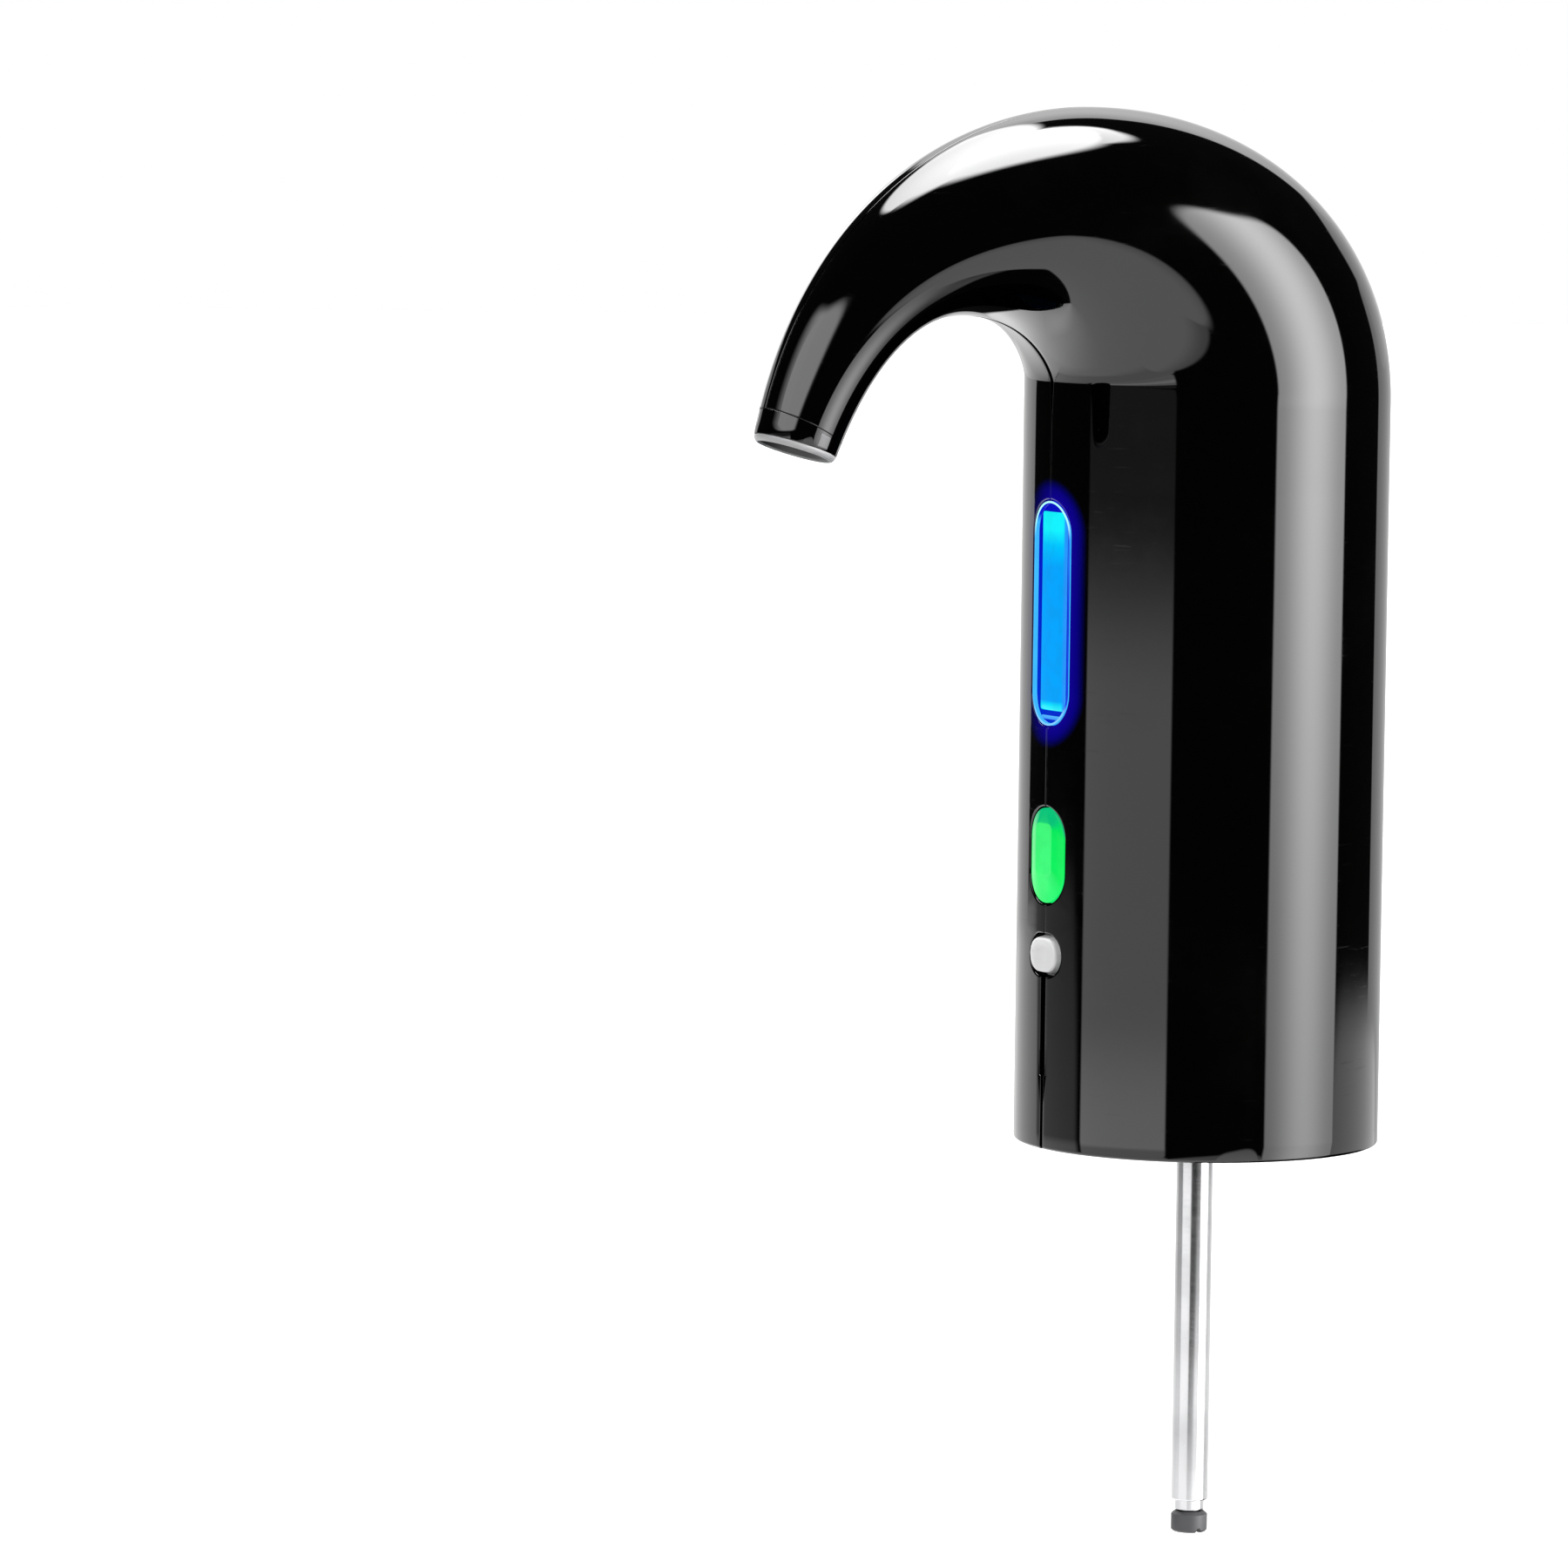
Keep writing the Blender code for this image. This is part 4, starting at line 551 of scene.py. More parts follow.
@dataclass(frozen=True)
class Wrapped(Finish):
    """A shrink-wrapped cell: glossy film, a paler band at each end and faint wrinkles round it."""

    low: float
    high: float
    colour: Colour = (0.05, 0.20, 0.45)
    band: Colour = (0.70, 0.70, 0.68)
    edge: float = 0.0018

    def wire(self, bench: Bench, place: Socket) -> None:
        """Joins its nodes."""
        z = bench.parts(place)[2]
        foot = bench.ramp(z, self.low + self.edge, self.low + self.edge * 1.1, 1.0, 0.0)
        head = bench.ramp(z, self.high - self.edge * 1.1, self.high - self.edge)
        wrinkle = bench.noise(bench.scaled(place, (0.2, 0.2, 1.0)), 1800.0)
        bench.shade(
            Base_Color=bench.mix(bench.math("ADD", foot, head, clamp=True), self.colour, self.band),
            Roughness=bench.line(wrinkle, 0.2, 0.2),
            Normal=bench.bump(wrinkle, 0.00003, 0.4),
        )


@dataclass(frozen=True)
class LitPlastic(Finish):
    """Plastic lit from behind: its own light changes up the piece, over a glossy clear skin."""

    low: float
    high: float
    stages: tuple[tuple[float, Colour], ...]
    side_glow: Colour | None = None
    side_reach: float = 0.0

    def wire(self, bench: Bench, place: Socket) -> None:
        """Joins its nodes."""
        x, _, z = bench.parts(place)
        share = bench.math("DIVIDE", bench.math("SUBTRACT", z, self.low), self.high - self.low, clamp=True)
        ramp = bench.node("ValToRGB", {"Fac": share})
        elements = ramp.color_ramp.elements
        for element, (spot, colour) in zip(elements, (self.stages[0], self.stages[-1])):
            element.position, element.color = spot, (*colour, 1.0)
        for spot, colour in self.stages[1:-1]:
            elements.new(spot).color = (*colour, 1.0)
        light = ramp.outputs["Color"]
        cloud = bench.ramp(bench.noise(place, 260.0, 2.0), 0.3, 0.7)
        if self.side_glow:
            side = bench.ramp(bench.math("ABSOLUTE", x), self.side_reach * 0.8, self.side_reach)
            light = bench.mix(side, light, self.side_glow)
        bench.glow(bench.mix(cloud, light, (0.9, 0.9, 0.9), "MULTIPLY"), 1.0)
        bench.shade(
            Base_Color=bench.mix(1.0, light, (0.03, 0.03, 0.03), "MULTIPLY"),
            Roughness=bench.line(cloud, 0.05, 0.12),
            Specular_IOR_Level=0.12,
        )


@dataclass(frozen=True)
class WindowLight(Finish):
    """The lit window frame in its own blue light, deep blue at its floor, with painted highlights and shading:
    cyan-white at its top, azure on its left.
    """

    level: float
    half_height: float
    floor: float = 0.0009

    def wire(self, bench: Bench, place: Socket) -> None:
        """Joins its nodes."""
        x, y, z = bench.parts(place)
        depth = bench.math("SUBTRACT", BODY_RADIUS, bench.length(x, y))
        low, high = self.level - self.half_height, self.level + self.half_height
        # Painted highlights and shading over the frame's own blue light: the cyan-white top and pale foot of the
        # rim stand in for the lens edge catching light, and its azure left and darker blue right stand in for the
        # lit left inner wall and the edge-on right one, as seen from the front right.
        right = bench.mix(bench.ramp(z, self.level, high - 0.006), rgb(22, 56, 220), rgb(40, 130, 245))
        rim = bench.mix(bench.ramp(x, -0.002, 0.003), rgb(66, 186, 255), right)
        rim = bench.mix(bench.ramp(z, high - 0.0075, high - 0.0035), rim, rgb(178, 255, 255))
        rim = bench.mix(bench.ramp(z, low + 0.0022, low + 0.0046, 1.0, 0.0), rim, rgb(128, 205, 255))
        wall = bench.mix(bench.ramp(z, high - 0.0045, high - 0.0025), rgb(62, 184, 255), rgb(8, 20, 205))
        rim = bench.mix(bench.ramp(depth, 0.00012, 0.0002), rim, wall)
        floor = bench.mix(bench.ramp(z, low, high), rgb(0, 38, 200), rgb(6, 0, 190))
        light = bench.mix(bench.ramp(depth, self.floor - 0.0001, self.floor - 0.00004), rim, floor)
        cloud = bench.ramp(bench.noise(place, 300.0, 2.0), 0.3, 0.7)
        bench.glow(bench.mix(cloud, light, (0.9, 0.9, 0.9), "MULTIPLY"), 1.05)
        bench.shade(
            Base_Color=bench.mix(0.96, light, (0.0, 0.01, 0.03)),
            Roughness=bench.line(cloud, 0.06, 0.10),
            Specular_IOR_Level=0.12,
        )


@dataclass(frozen=True)
class FacetLight(Finish):
    """A lit green cap with painted shading: each facet's tone is set by the way it faces, teal above, bright at the
    plateau and at the foot.
    """

    low: float
    high: float

    def wire(self, bench: Bench, place: Socket) -> None:
        """Joins its nodes."""
        # Painted shading over the cap's own green light: the colour is picked by the way each facet faces, as if
        # light fell on it, and the light is eased a little brighter towards the cap's foot.
        x, _, z = bench.parts(bench.node("TexCoord").outputs["Normal"])
        light = rgb(62, 250, 122)
        for facing, start, end, colour in (
            (x, 0.05, 0.30, rgb(4, 240, 92)),
            (x, -0.05, -0.30, rgb(22, 226, 106)),
            (z, -0.03, -0.15, rgb(12, 240, 106)),
            (z, 0.03, 0.20, rgb(10, 200, 124)),
        ):
            light = bench.mix(bench.ramp(facing, start, end), light, colour)
        lift = bench.ramp(bench.parts(place)[2], self.low, self.high, 1.06, 0.94)
        cloud = bench.ramp(bench.noise(place, 320.0), 0.25, 0.75, 0.96, 1.04)
        inputs = {0: light, "Scale": bench.times(lift, cloud)}
        bench.glow(bench.node("VectorMath", inputs, operation="SCALE").outputs[0], 0.92)
        bench.shade(
            Base_Color=bench.mix(0.94, light, (0.0, 0.02, 0.01)),
            Roughness=bench.times(cloud, 0.16),
            Specular_IOR_Level=0.15,
        )


@dataclass(frozen=True)
class Contacts(Finish):
    """Black plastic with a row of gold contacts across it."""

    pitch: float = 0.0005
    reach: float = 0.0029

    def wire(self, bench: Bench, place: Socket) -> None:
        """Joins its nodes."""
        x = bench.parts(place)[0]
        away = bench.math("ABSOLUTE", bench.math("WRAP", x, self.pitch / 2, -self.pitch / 2))
        strip = bench.ramp(away, self.pitch * 0.22, self.pitch * 0.30, 1.0, 0.0)
        inside = bench.ramp(bench.math("ABSOLUTE", x), self.reach, self.reach + 0.0001, 1.0, 0.0)
        gold = bench.times(strip, inside)
        drift = bench.noise(place, 900.0, 2.0)
        metal = bench.mix(drift, (0.62, 0.42, 0.14), (0.80, 0.58, 0.24))
        bench.shade(
            Base_Color=bench.mix(gold, (0.010, 0.010, 0.011), metal),
            Metallic=gold,
            Roughness=bench.line(drift, 0.10, 0.28),
            Normal=bench.bump(gold, 0.00002, 0.6),
        )


@dataclass(frozen=True)
class Diode(Finish):
    """A lamp in its white package, with a round yellow phosphor window on its face."""

    level: float
    radius: float = 0.0010

    def wire(self, bench: Bench, place: Socket) -> None:
        """Joins its nodes."""
        x, _, z = bench.parts(place)
        away = bench.length(x, bench.math("SUBTRACT", z, self.level))
        window = bench.ramp(away, self.radius * 0.9, self.radius, 1.0, 0.0)
        cloud = bench.noise(place, 1500.0, 2.0)
        body = bench.mix(cloud, (0.66, 0.66, 0.64), (0.74, 0.74, 0.72))
        bench.shade(
            Base_Color=bench.mix(window, body, (0.82, 0.60, 0.10)),
            Roughness=bench.line(window, -0.25, 0.42),
            Normal=bench.bump(cloud, 0.000006, 0.5),
        )


@dataclass(frozen=True)
class PaleFloor(Finish):
    """The studio's matt floor: the backdrop's white to the camera, and clear from beneath."""

    backdrop: Colour

    def wire(self, bench: Bench, place: Socket) -> None:
        """Joins its nodes."""
        grain = bench.noise(place, 3.0, 2.0)
        seen = bench.node("LightPath").outputs["Is Camera Ray"]
        under = bench.node("NewGeometry").outputs["Backfacing"]
        bench.shade(
            Base_Color=bench.mix(grain, (0.24, 0.24, 0.24), (0.28, 0.28, 0.28)),
            Roughness=0.9,
            Specular_IOR_Level=0.0,
            Emission_Color=bench.mix(seen, BLACK, self.backdrop),
            Emission_Strength=1.0,
            Alpha=bench.math("SUBTRACT", 1.0, under),
        )


# Shared finishes by CAD node or by material slot
FINISHES: dict[str, Finish] = {
    "motor": Brushed((0.46, 0.46, 0.48), 0.26, 2600.0),
    "motor_shaft": Brushed((0.62, 0.62, 0.63), 0.16, 6000.0),
    "check_valve": Moulded((0.55, 0.57, 0.60), 0.24, 0.000004, 1600.0, see_through=0.35),
    "natural_abs": Moulded((0.60, 0.58, 0.52), 0.44, 0.00001, 1500.0),
    "zinc_steel": Brushed((0.50, 0.50, 0.52), 0.30, 3000.0),
    "silicone_clear": Moulded((0.72, 0.75, 0.77), 0.30, 0.000004, 1800.0, see_through=0.55),
    "white_plastic": Moulded((0.68, 0.68, 0.67), 0.32, 0.000005, 1700.0),
    "brass": Brushed((0.72, 0.52, 0.22), 0.24, 4200.0),
    "circuit_board": CircuitBoard(),
    "black_satin": Moulded((0.014, 0.014, 0.015), 0.44, 0.00001, 1500.0),
    "rubber": Moulded((0.020, 0.020, 0.021), 0.62, 0.000012, 1300.0, sheen=0.2),
    "stainless": Brushed((0.60, 0.60, 0.61), 0.20, 5200.0),
    "lead_red": Moulded((0.50, 0.02, 0.02), 0.36, 0.000006, 2400.0),
    "lead_black": Moulded((0.018, 0.018, 0.018), 0.36, 0.000006, 2400.0),
    "clear_guide": Moulded((0.36, 0.74, 0.90), 0.52, 0.000014, 1200.0, see_through=0.4),
}


# Casing


@dataclass(frozen=True)
class Opening:
    """A pill-shaped opening in the casing, upright or lying, in the front or the back."""

    level: float
    width: float
    height: float
    front: bool = True
    margin: float = 0.0016

    @property
    def radius(self) -> float:
        """The radius of its round ends."""
        return min(self.width, self.height) / 2

    @property
    def reach(self) -> tuple[float, float]:
        """How far its middle line runs to each side, and up and down."""
        return self.width / 2 - self.radius, self.height / 2 - self.radius

    @property
    def zone(self) -> tuple[float, float]:
        """The levels between which the casing's own rows give way to it."""
        half = self.height / 2 + self.margin
        return self.level - half, self.level + half

    def outline(self, border: Array, grow: Array) -> Array:
        """Its outline: each border point is carried straight towards the middle line, down to the radius.

        Args:
            border: Points as (x, level), n by 2.
            grow: How far outside the opening each row of points lies, k by 1.

        Returns:
            Points, k by n by 2.
        """
        middle, (x, z) = np.array([0, self.level]), self.reach
        spine = middle + np.clip(border - middle, [0, -z], [x, z])
        away = border - spine
        away /= np.linalg.norm(away, axis=-1, keepdims=True)
        return spine + (self.radius + grow[..., None]) * away

    def end(self, x: Array, grow: Array, way: int) -> Array:
        """The level of the outline's lower (way -1) or upper (way 1) end at an x."""
        past = np.maximum(x - self.reach[0], 0)
        return self.level + way * (self.reach[1] + np.sqrt((self.radius + grow) ** 2 - past**2))


@dataclass
class Casing:
    """The two glossy halves, with soft seams, a slot under the power button and rounded openings."""

    radius: float = BODY_RADIUS
    wall: float = 0.0022
    rim_round: float = 0.0006
    back_shoulder: float = 0.1424
    front_shoulder: float = 0.1460
    dome: tuple[float, float] = (0.0276, 0.1978)
    arch: tuple[float, float] = (0.0559, 0.1587)
    tip: tuple[float, float] = (0.0909, 0.1348)
    tip_radius: float = 0.0080
    tip_slope: float = 72.0
    outer_tip_slope: float = 77.7
    inner_tip_slope: float = 68.0
    back_handle: float = 0.0308
    dome_back_handle: float = 0.0385
    dome_front_handle: float = 0.0289
    outer_tip_handle: float = 0.0404
    crease_handle: float = 0.0010
    arch_back_handle: float = 0.0168
    inner_tip_handle: float = 0.0200
    collar_length: float = 0.0035
    tip_gap: float = 0.00006
    tip_round: float = 0.00006
    straight_level: float = 0.1262
    seam: float = 0.00012
    neck_seam: float = 0.00055
    neck_round: float = 0.00010
    seam_round: float = 0.00018
    slot: float = 0.00085
    slot_depth: float = 0.0008
    slot_round: float = 0.00016
    slot_low: float = 0.0142
    line: float = 0.00045
    line_depth: float = 0.0003
    edge_round: float = 0.00028
    panel_width: float = 0.0092
    panel_columns: int = 9
    middle_columns: int = 62
    span_rows: int = 84
    corner_steps: int = 5
    shares: Array = field(default_factory=lambda: np.array([0, 0.05, 0.16, 0.36, 0.6, 0.82, 1.0]))
    openings: tuple[Opening, ...] = (
        Opening(0.1022, 0.0131, 0.0432),
        Opening(0.0562, 0.0122, 0.0187),
        Opening(0.0372, 0.0108, 0.0082),
        Opening(0.0435, 0.0096, 0.0040, front=False),
    )

    def __post_init__(self) -> None:
        """Works out the rails and the rows."""
        self._rails()
        self._rows()

    def _rails(self) -> None:
        """The cubic spans of the outer and the inner rail, each 2 by 4 by 2."""
        slope = radians(self.tip_slope)
        across = np.array([sin(slope), cos(slope)]) * self.tip_radius
        tip, up, ahead = np.array(self.tip), np.array([0.0, 1.0]), np.array([1.0, 0.0])
        back, front = (-self.radius, self.back_shoulder), (self.radius, self.front_shoulder)
        arch_front_handle = self.arch_back_handle * self.dome_front_handle / self.dome_back_handle
        self.rails = []
        for foot, rise, top, behind, before, end, slope, handle in (
            (back, self.back_handle, self.dome, self.dome_back_handle, self.dome_front_handle)
            + (tip + across, self.outer_tip_slope, self.outer_tip_handle),
            (front, self.crease_handle, self.arch, self.arch_back_handle, arch_front_handle)
            + (tip - across, self.inner_tip_slope, self.inner_tip_handle),
        ):
            foot, top = np.array(foot), np.array(top)
            down = np.array([cos(radians(slope)), -sin(radians(slope))])
            rising = [foot, foot + up * rise, top - ahead * behind, top]
            falling = [top, top + ahead * before, end - down * handle, end]
            self.rails.append(np.array([rising, falling]))

    def section(self, span: int, share: Array) -> tuple[Array, Array, Array]:
        """Sections of a span, from the two rails' cubics at the same share.

        Args:
            span: 0 from the shoulder to the dome's top, 1 from there to the tip.
            share: How far along the span, n.

        Returns:
            Middles (n by 2), unit directions to the inner rail (n by 2) and radii (n).
        """
        t = np.asarray(share, float)[:, None]
        weights = np.hstack([(1 - t) ** 3, 3 * (1 - t) ** 2 * t, 3 * (1 - t) * t**2, t**3])
        high, low = (weights @ rail[span] for rail in self.rails)
        width = np.linalg.norm(low - high, axis=1)
        return (high + low) / 2, (low - high) / width[:, None], width / 2

    def share_at(self, distance: Array) -> Array:
        """The shares of the spout's span at distances back from the tip along its middle."""
        shares = np.linspace(1, 0, 401)
        middle = self.section(1, shares)[0]
        run = np.concatenate([[0], np.cumsum(np.linalg.norm(np.diff(middle, axis=0), axis=1))])
        return np.interp(distance, run, shares)

    def _levels(self) -> Array:
        """The levels of the upright part's rows, close together beside the openings."""
        button_low = self.openings[2].zone[0]
        marks = [self.rim_round, 0.003, 0.008, self.slot_low - 0.0002, self.slot_low, 0.020, 0.026, button_low]
        for one in self.openings:
            low, high = one.zone
            marks += np.linspace(low, high, max(4, round((high - low) / 0.0013))).tolist()
        marks += [0.0445, 0.071, 0.075, self.straight_level]
        found = np.unique(np.round(marks, 6))
        wide = np.concatenate([[True], np.diff(found) > 0.00018])
        ends = np.isin(found, np.round([edge for one in self.openings for edge in one.zone], 6))
        return found[wide | ends]

    def _rows(self) -> None:
        """The sections of every row: middle, direction, radii, and the front seam's form."""
        turn = np.linspace(0, pi / 2, 6)[:-1]
        self.levels = self._levels()
        self.first_level = len(turn)
        flat_level = np.concatenate([self.rim_round * (1 - np.cos(turn)), self.levels])
        rim_radii = self.radius - self.rim_round * (1 - np.sin(turn))
        flat_radius = np.concatenate([rim_radii, np.full(len(self.levels), self.radius)])
        flat_middle = np.stack([np.zeros_like(flat_level), flat_level], axis=1)
        flat_toward = np.tile([1.0, 0.0], (len(flat_level), 1))
        close = np.array([0, 0.006, 0.012, 0.02, 0.03, 0.042, 0.056, 0.072])
        first = np.concatenate([close, np.linspace(0.09, 1, self.span_rows)])
        middle0, toward0, radius0 = self.section(0, first)
        lean = np.linspace(0, 1, 9)[1:-1, None]
        middle_up = flat_middle[-1] + (middle0[0] - flat_middle[-1]) * lean
        toward_up = flat_toward[-1] + (toward0[0] - flat_toward[-1]) * lean
        toward_up /= np.linalg.norm(toward_up, axis=1, keepdims=True)
        radius_up = self.radius + (radius0[0] - self.radius) * lean[:, 0]
        end, late = self.collar_length + self.tip_gap, pi / 2 - turn[::-1]
        straight = np.linspace(0, float(self.share_at(end + 3 * self.tip_round)), self.span_rows)[1:]
        last = np.concatenate([straight, self.share_at(end + self.tip_round * (1 - np.sin(late)))])
        middle1, toward1, radius1 = self.section(1, last)
        trim = np.concatenate([np.zeros(len(straight)), self.tip_round * (1 - np.cos(late))])
        self.middle = np.concatenate([flat_middle, middle_up, middle0, middle1])
        self.toward = np.concatenate([flat_toward, toward_up, toward0, toward1])
        self.outer = np.concatenate([flat_radius, radius_up, radius0, radius1 - trim])
        full = np.concatenate([np.full(len(flat_level), self.radius), radius_up, radius0, radius1])
        self.inner = full - self.wall
        level = self.middle[:, 1]
        row = np.arange(len(level))
        upright = row < len(flat_level)
        slot = upright & (level > self.slot_low - 0.00005) & (level < self.openings[2].zone[0] + 0.00005)
        line = upright & (level < self.slot_low - 0.00005)
        above = row - (len(level) - len(first) - len(last))
        plain = self.seam + (self.neck_seam - self.seam) * np.clip(above / 3 + 1, 0, 1)
        self.offset = np.where(slot, self.slot, np.where(line, self.line, plain))
        soft = np.where(above > 0, self.neck_round, self.seam_round)
        self.fillet = np.where(slot | line, self.slot_round, soft)
        self.depth = np.where(line, self.line_depth, self.slot_depth)

    def profile(self, front: bool) -> Array:
        """The seam's edge of every row, from the skin inwards, as (towards the seam's rail, x).

        The edge's round has its middle at the radius less the round, where x is the offset plus
        the round. It runs on to a shelf at the seam's depth, and then in to the inner wall.

        Args:
            front: The front seam, which has the slot, or the back one.

        Returns:
            Points, rows by steps by 2.
        """
        plain = (self.seam, self.seam_round, self.slot_depth)
        forms = (self.offset, self.fillet, self.depth) if front else plain
        offset, fillet, depth = (form + 0 * self.outer for form in forms)
        middle = self.outer - fillet
        start = np.arcsin((offset + fillet) / middle)
        turn = start[:, None] + (-pi / 2 - start)[:, None] * np.linspace(0, 1, self.corner_steps)
        along = (middle * np.cos(start))[:, None] + fillet[:, None] * np.cos(turn)
        across = (middle * np.sin(start))[:, None] + fillet[:, None] * np.sin(turn)
        shelf, seam = self.outer - depth, np.full_like(offset, self.seam)
        tail_along = np.stack([shelf, shelf, np.sqrt(self.inner**2 - self.seam**2)], 1)
        tail_across = np.stack([offset, seam, seam], 1)
        return np.stack([np.hstack([along, tail_along]), np.hstack([across, tail_across])], axis=-1)

    def lifted(self, points: Array, side: int) -> Array:
        """Section points as points of the model: forward is -y, and a level starts at the rim.

        Args:
            points: (towards the inner rail, x), rows by steps by 2.
            side: Which half, -1 or 1.

        Returns:
            Points, rows by steps by 3.
        """
        forward, level = (
            self.middle[:, None, axis] + self.toward[:, None, axis] * points[..., 0] for axis in (0, 1)
        )
        return np.stack([side * points[..., 1], -forward, level + RIM_Z], axis=-1)

    def arc(self, radius: Array, start: Array, end: Array) -> Array:
        """The round of every row as (towards the inner rail, x), from the front seam to the back.

        Args:
            radius: Each row's radius.
            start: The angle at which each row leaves the front seam.
            end: The angle that it still lacks at the back seam.

        Returns:
            Points, rows by columns by 2.
        """
        edge = np.arcsin(self.panel_width / self.radius)
        steps = np.linspace(0, 1, self.panel_columns + 1)
        front = start[:, None] + (edge - start)[:, None] * steps
        back = pi - end[:, None] - (edge - end)[:, None] * steps[::-1]
        middle = np.linspace(edge, pi - edge, self.middle_columns + 1)[1:-1]
        angle = np.hstack([front, np.tile(middle, (len(radius), 1)), back])
        return radius[:, None, None] * np.stack([np.cos(angle), np.sin(angle)], axis=-1)

    def half(self, side: int) -> Skin:
        """One half of the casing.

        Args:
            side: -1 for the left half, 1 for the right.

        Returns:
            The closed skin.
        """
        skin = Skin()
        seams = [self.profile(True), self.profile(False)]
        starts = [np.arcsin(seam[:, 0, 1] / self.outer) for seam in seams]
        inside = np.arcsin(self.seam / self.inner)
        arcs = self.arc(self.outer, *starts), self.arc(self.inner, inside, inside)
        walls = [self.lifted(arc, side) for arc in arcs]
        for wall in walls:
            skin.sheet(wall[:, self.panel_columns : -self.panel_columns])
        for front, way, edge in ((True, 1, seams[0]), (False, -1, seams[1] * [-1, 1])):
            seam = self.lifted(edge, side)
            columns = [wall[:, ::way][:, : self.panel_columns + 1] for wall in walls]
            rows = [0]
            for one in sorted((one for one in self.openings if one.front == front), key=lambda one: one.level):
                low, high = (self._row(level) for level in one.zone)
                self._panel(skin, one, side, columns, seam, low, high)
                rows += [low, high]
            rows.append(len(self.outer) - 1)
            for low, high in zip(rows[::2], rows[1::2]):
                for grid in (*columns, seam):
                    skin.sheet(grid[low : high + 1])
            skin.cap(seam[0]).cap(seam[-1])
        for row in (0, -1):
            skin.sheet(np.stack([wall[row] for wall in walls]))
        return skin

    def _row(self, level: float) -> int:
        """The number of the row at a level of the upright part."""
        return self.first_level + int(np.argmin(np.abs(self.levels - level)))

    def _panel(
        self, skin: Skin, one: Opening, side: int, columns: list[Array], seam: Array, low: int, high: int
    ) -> None:
        """The half of an opening with the skin round it, its rounded edge and its wall.

        Rings run from the opening's outline, grown by the edge's round, to the border of the block
        of skin that it takes the place of: ring = outline + share (border - outline). Each point is
        then set back on the round wall, y = -sqrt(R^2 - x^2), or + at the back.

        Args:
            skin: Takes the faces.
            one: The opening.
            side: Which half, -1 or 1.
            columns: The block's outer and inner columns, each rows by columns by 3.
            seam: The seam's edge, rows by steps by 3.
            low: The row below the opening.
            high: The row above it.
        """
        way = -1 if one.front else 1

        def on_wall(plan: Array, radius: Array) -> Array:
            """Points as (x, level) on a round wall."""
            depth = way * np.sqrt(radius**2 - plan[..., 0] ** 2)
            return np.stack([side * plan[..., 0], depth, plan[..., 1] + RIM_Z], axis=-1)

        def border(grid: Array) -> Array:
            """A block's border as (x, level): along the low row, up the far column, and back."""
            loop = np.concatenate([grid[low], grid[low + 1 : high, -1], grid[high, ::-1]])
            return np.stack([np.abs(loop[:, 0]), loop[:, 2] - RIM_Z], axis=-1)

        turn = np.linspace(0, pi / 2, self.corner_steps)
        extra = seam.shape[1] - self.corner_steps
        deep = np.linspace(self.edge_round, self.wall, extra + 1)[1:]
        depth = np.concatenate([self.edge_round * (1 - np.cos(turn)), deep])
        grow = np.concatenate([self.edge_round * (1 - np.sin(turn)), np.zeros(extra)])
        edge = border(columns[0])
        plan = one.outline(edge, grow[:, None])
        wall = on_wall(plan, (self.radius - depth)[:, None])
        for column, row, end in ((0, low, -1), (-1, high, 1)):
            x, y, stop = seam[row].T
            level = one.end(np.abs(x), grow, end)
            wall[:, column] = np.stack([side * np.abs(x), y, level + RIM_Z], axis=-1)
            plan[:, column] = np.stack([np.abs(x), level], axis=-1)
            strip = np.broadcast_to(seam[row], (len(self.shares), *seam[row].shape)).copy()
            start = wall[:, column, 2]
            strip[..., 2] = start + self.shares[:, None] * (stop - start)
            skin.sheet(strip)
        skin.sheet(wall)
        inner = border(columns[1])
        for start, stop, depth in ((plan[0], edge, 0.0), (plan[-1], inner, self.wall)):
            rings = start + self.shares[:, None, None] * (stop - start)
            skin.sheet(on_wall(rings, self.radius - depth))

    def bosses(self, skin: Skin, side: int) -> None:
        """The two screw bosses inside a half, each a thick tube with a bore from below."""
        top, foot, wide, bore, deep = 0.0068, -0.0240, 0.0044, 0.0014, -0.0157
        outline = [(0, top), (wide, top), (wide, foot), (bore, foot), (bore, deep), (0, deep)]
        for angle in np.radians(BOSS_ANGLES):
            x, y = side * BOSS_CIRCLE * cos(angle), BOSS_CIRCLE * sin(angle)
            skin.turn(outline, Place((x, y, 0.0)), 32, 0.0002, closed=False)

    def build(self) -> None:
        """Builds and dresses both halves."""
        for name, side in (("left", -1), ("right", 1)):
            skin = self.half(side)
            self.bosses(skin, side)
            keep(f"{name}_casing", skin, GlossShell(self.openings[0]), f"{name}_shell")


# Controls


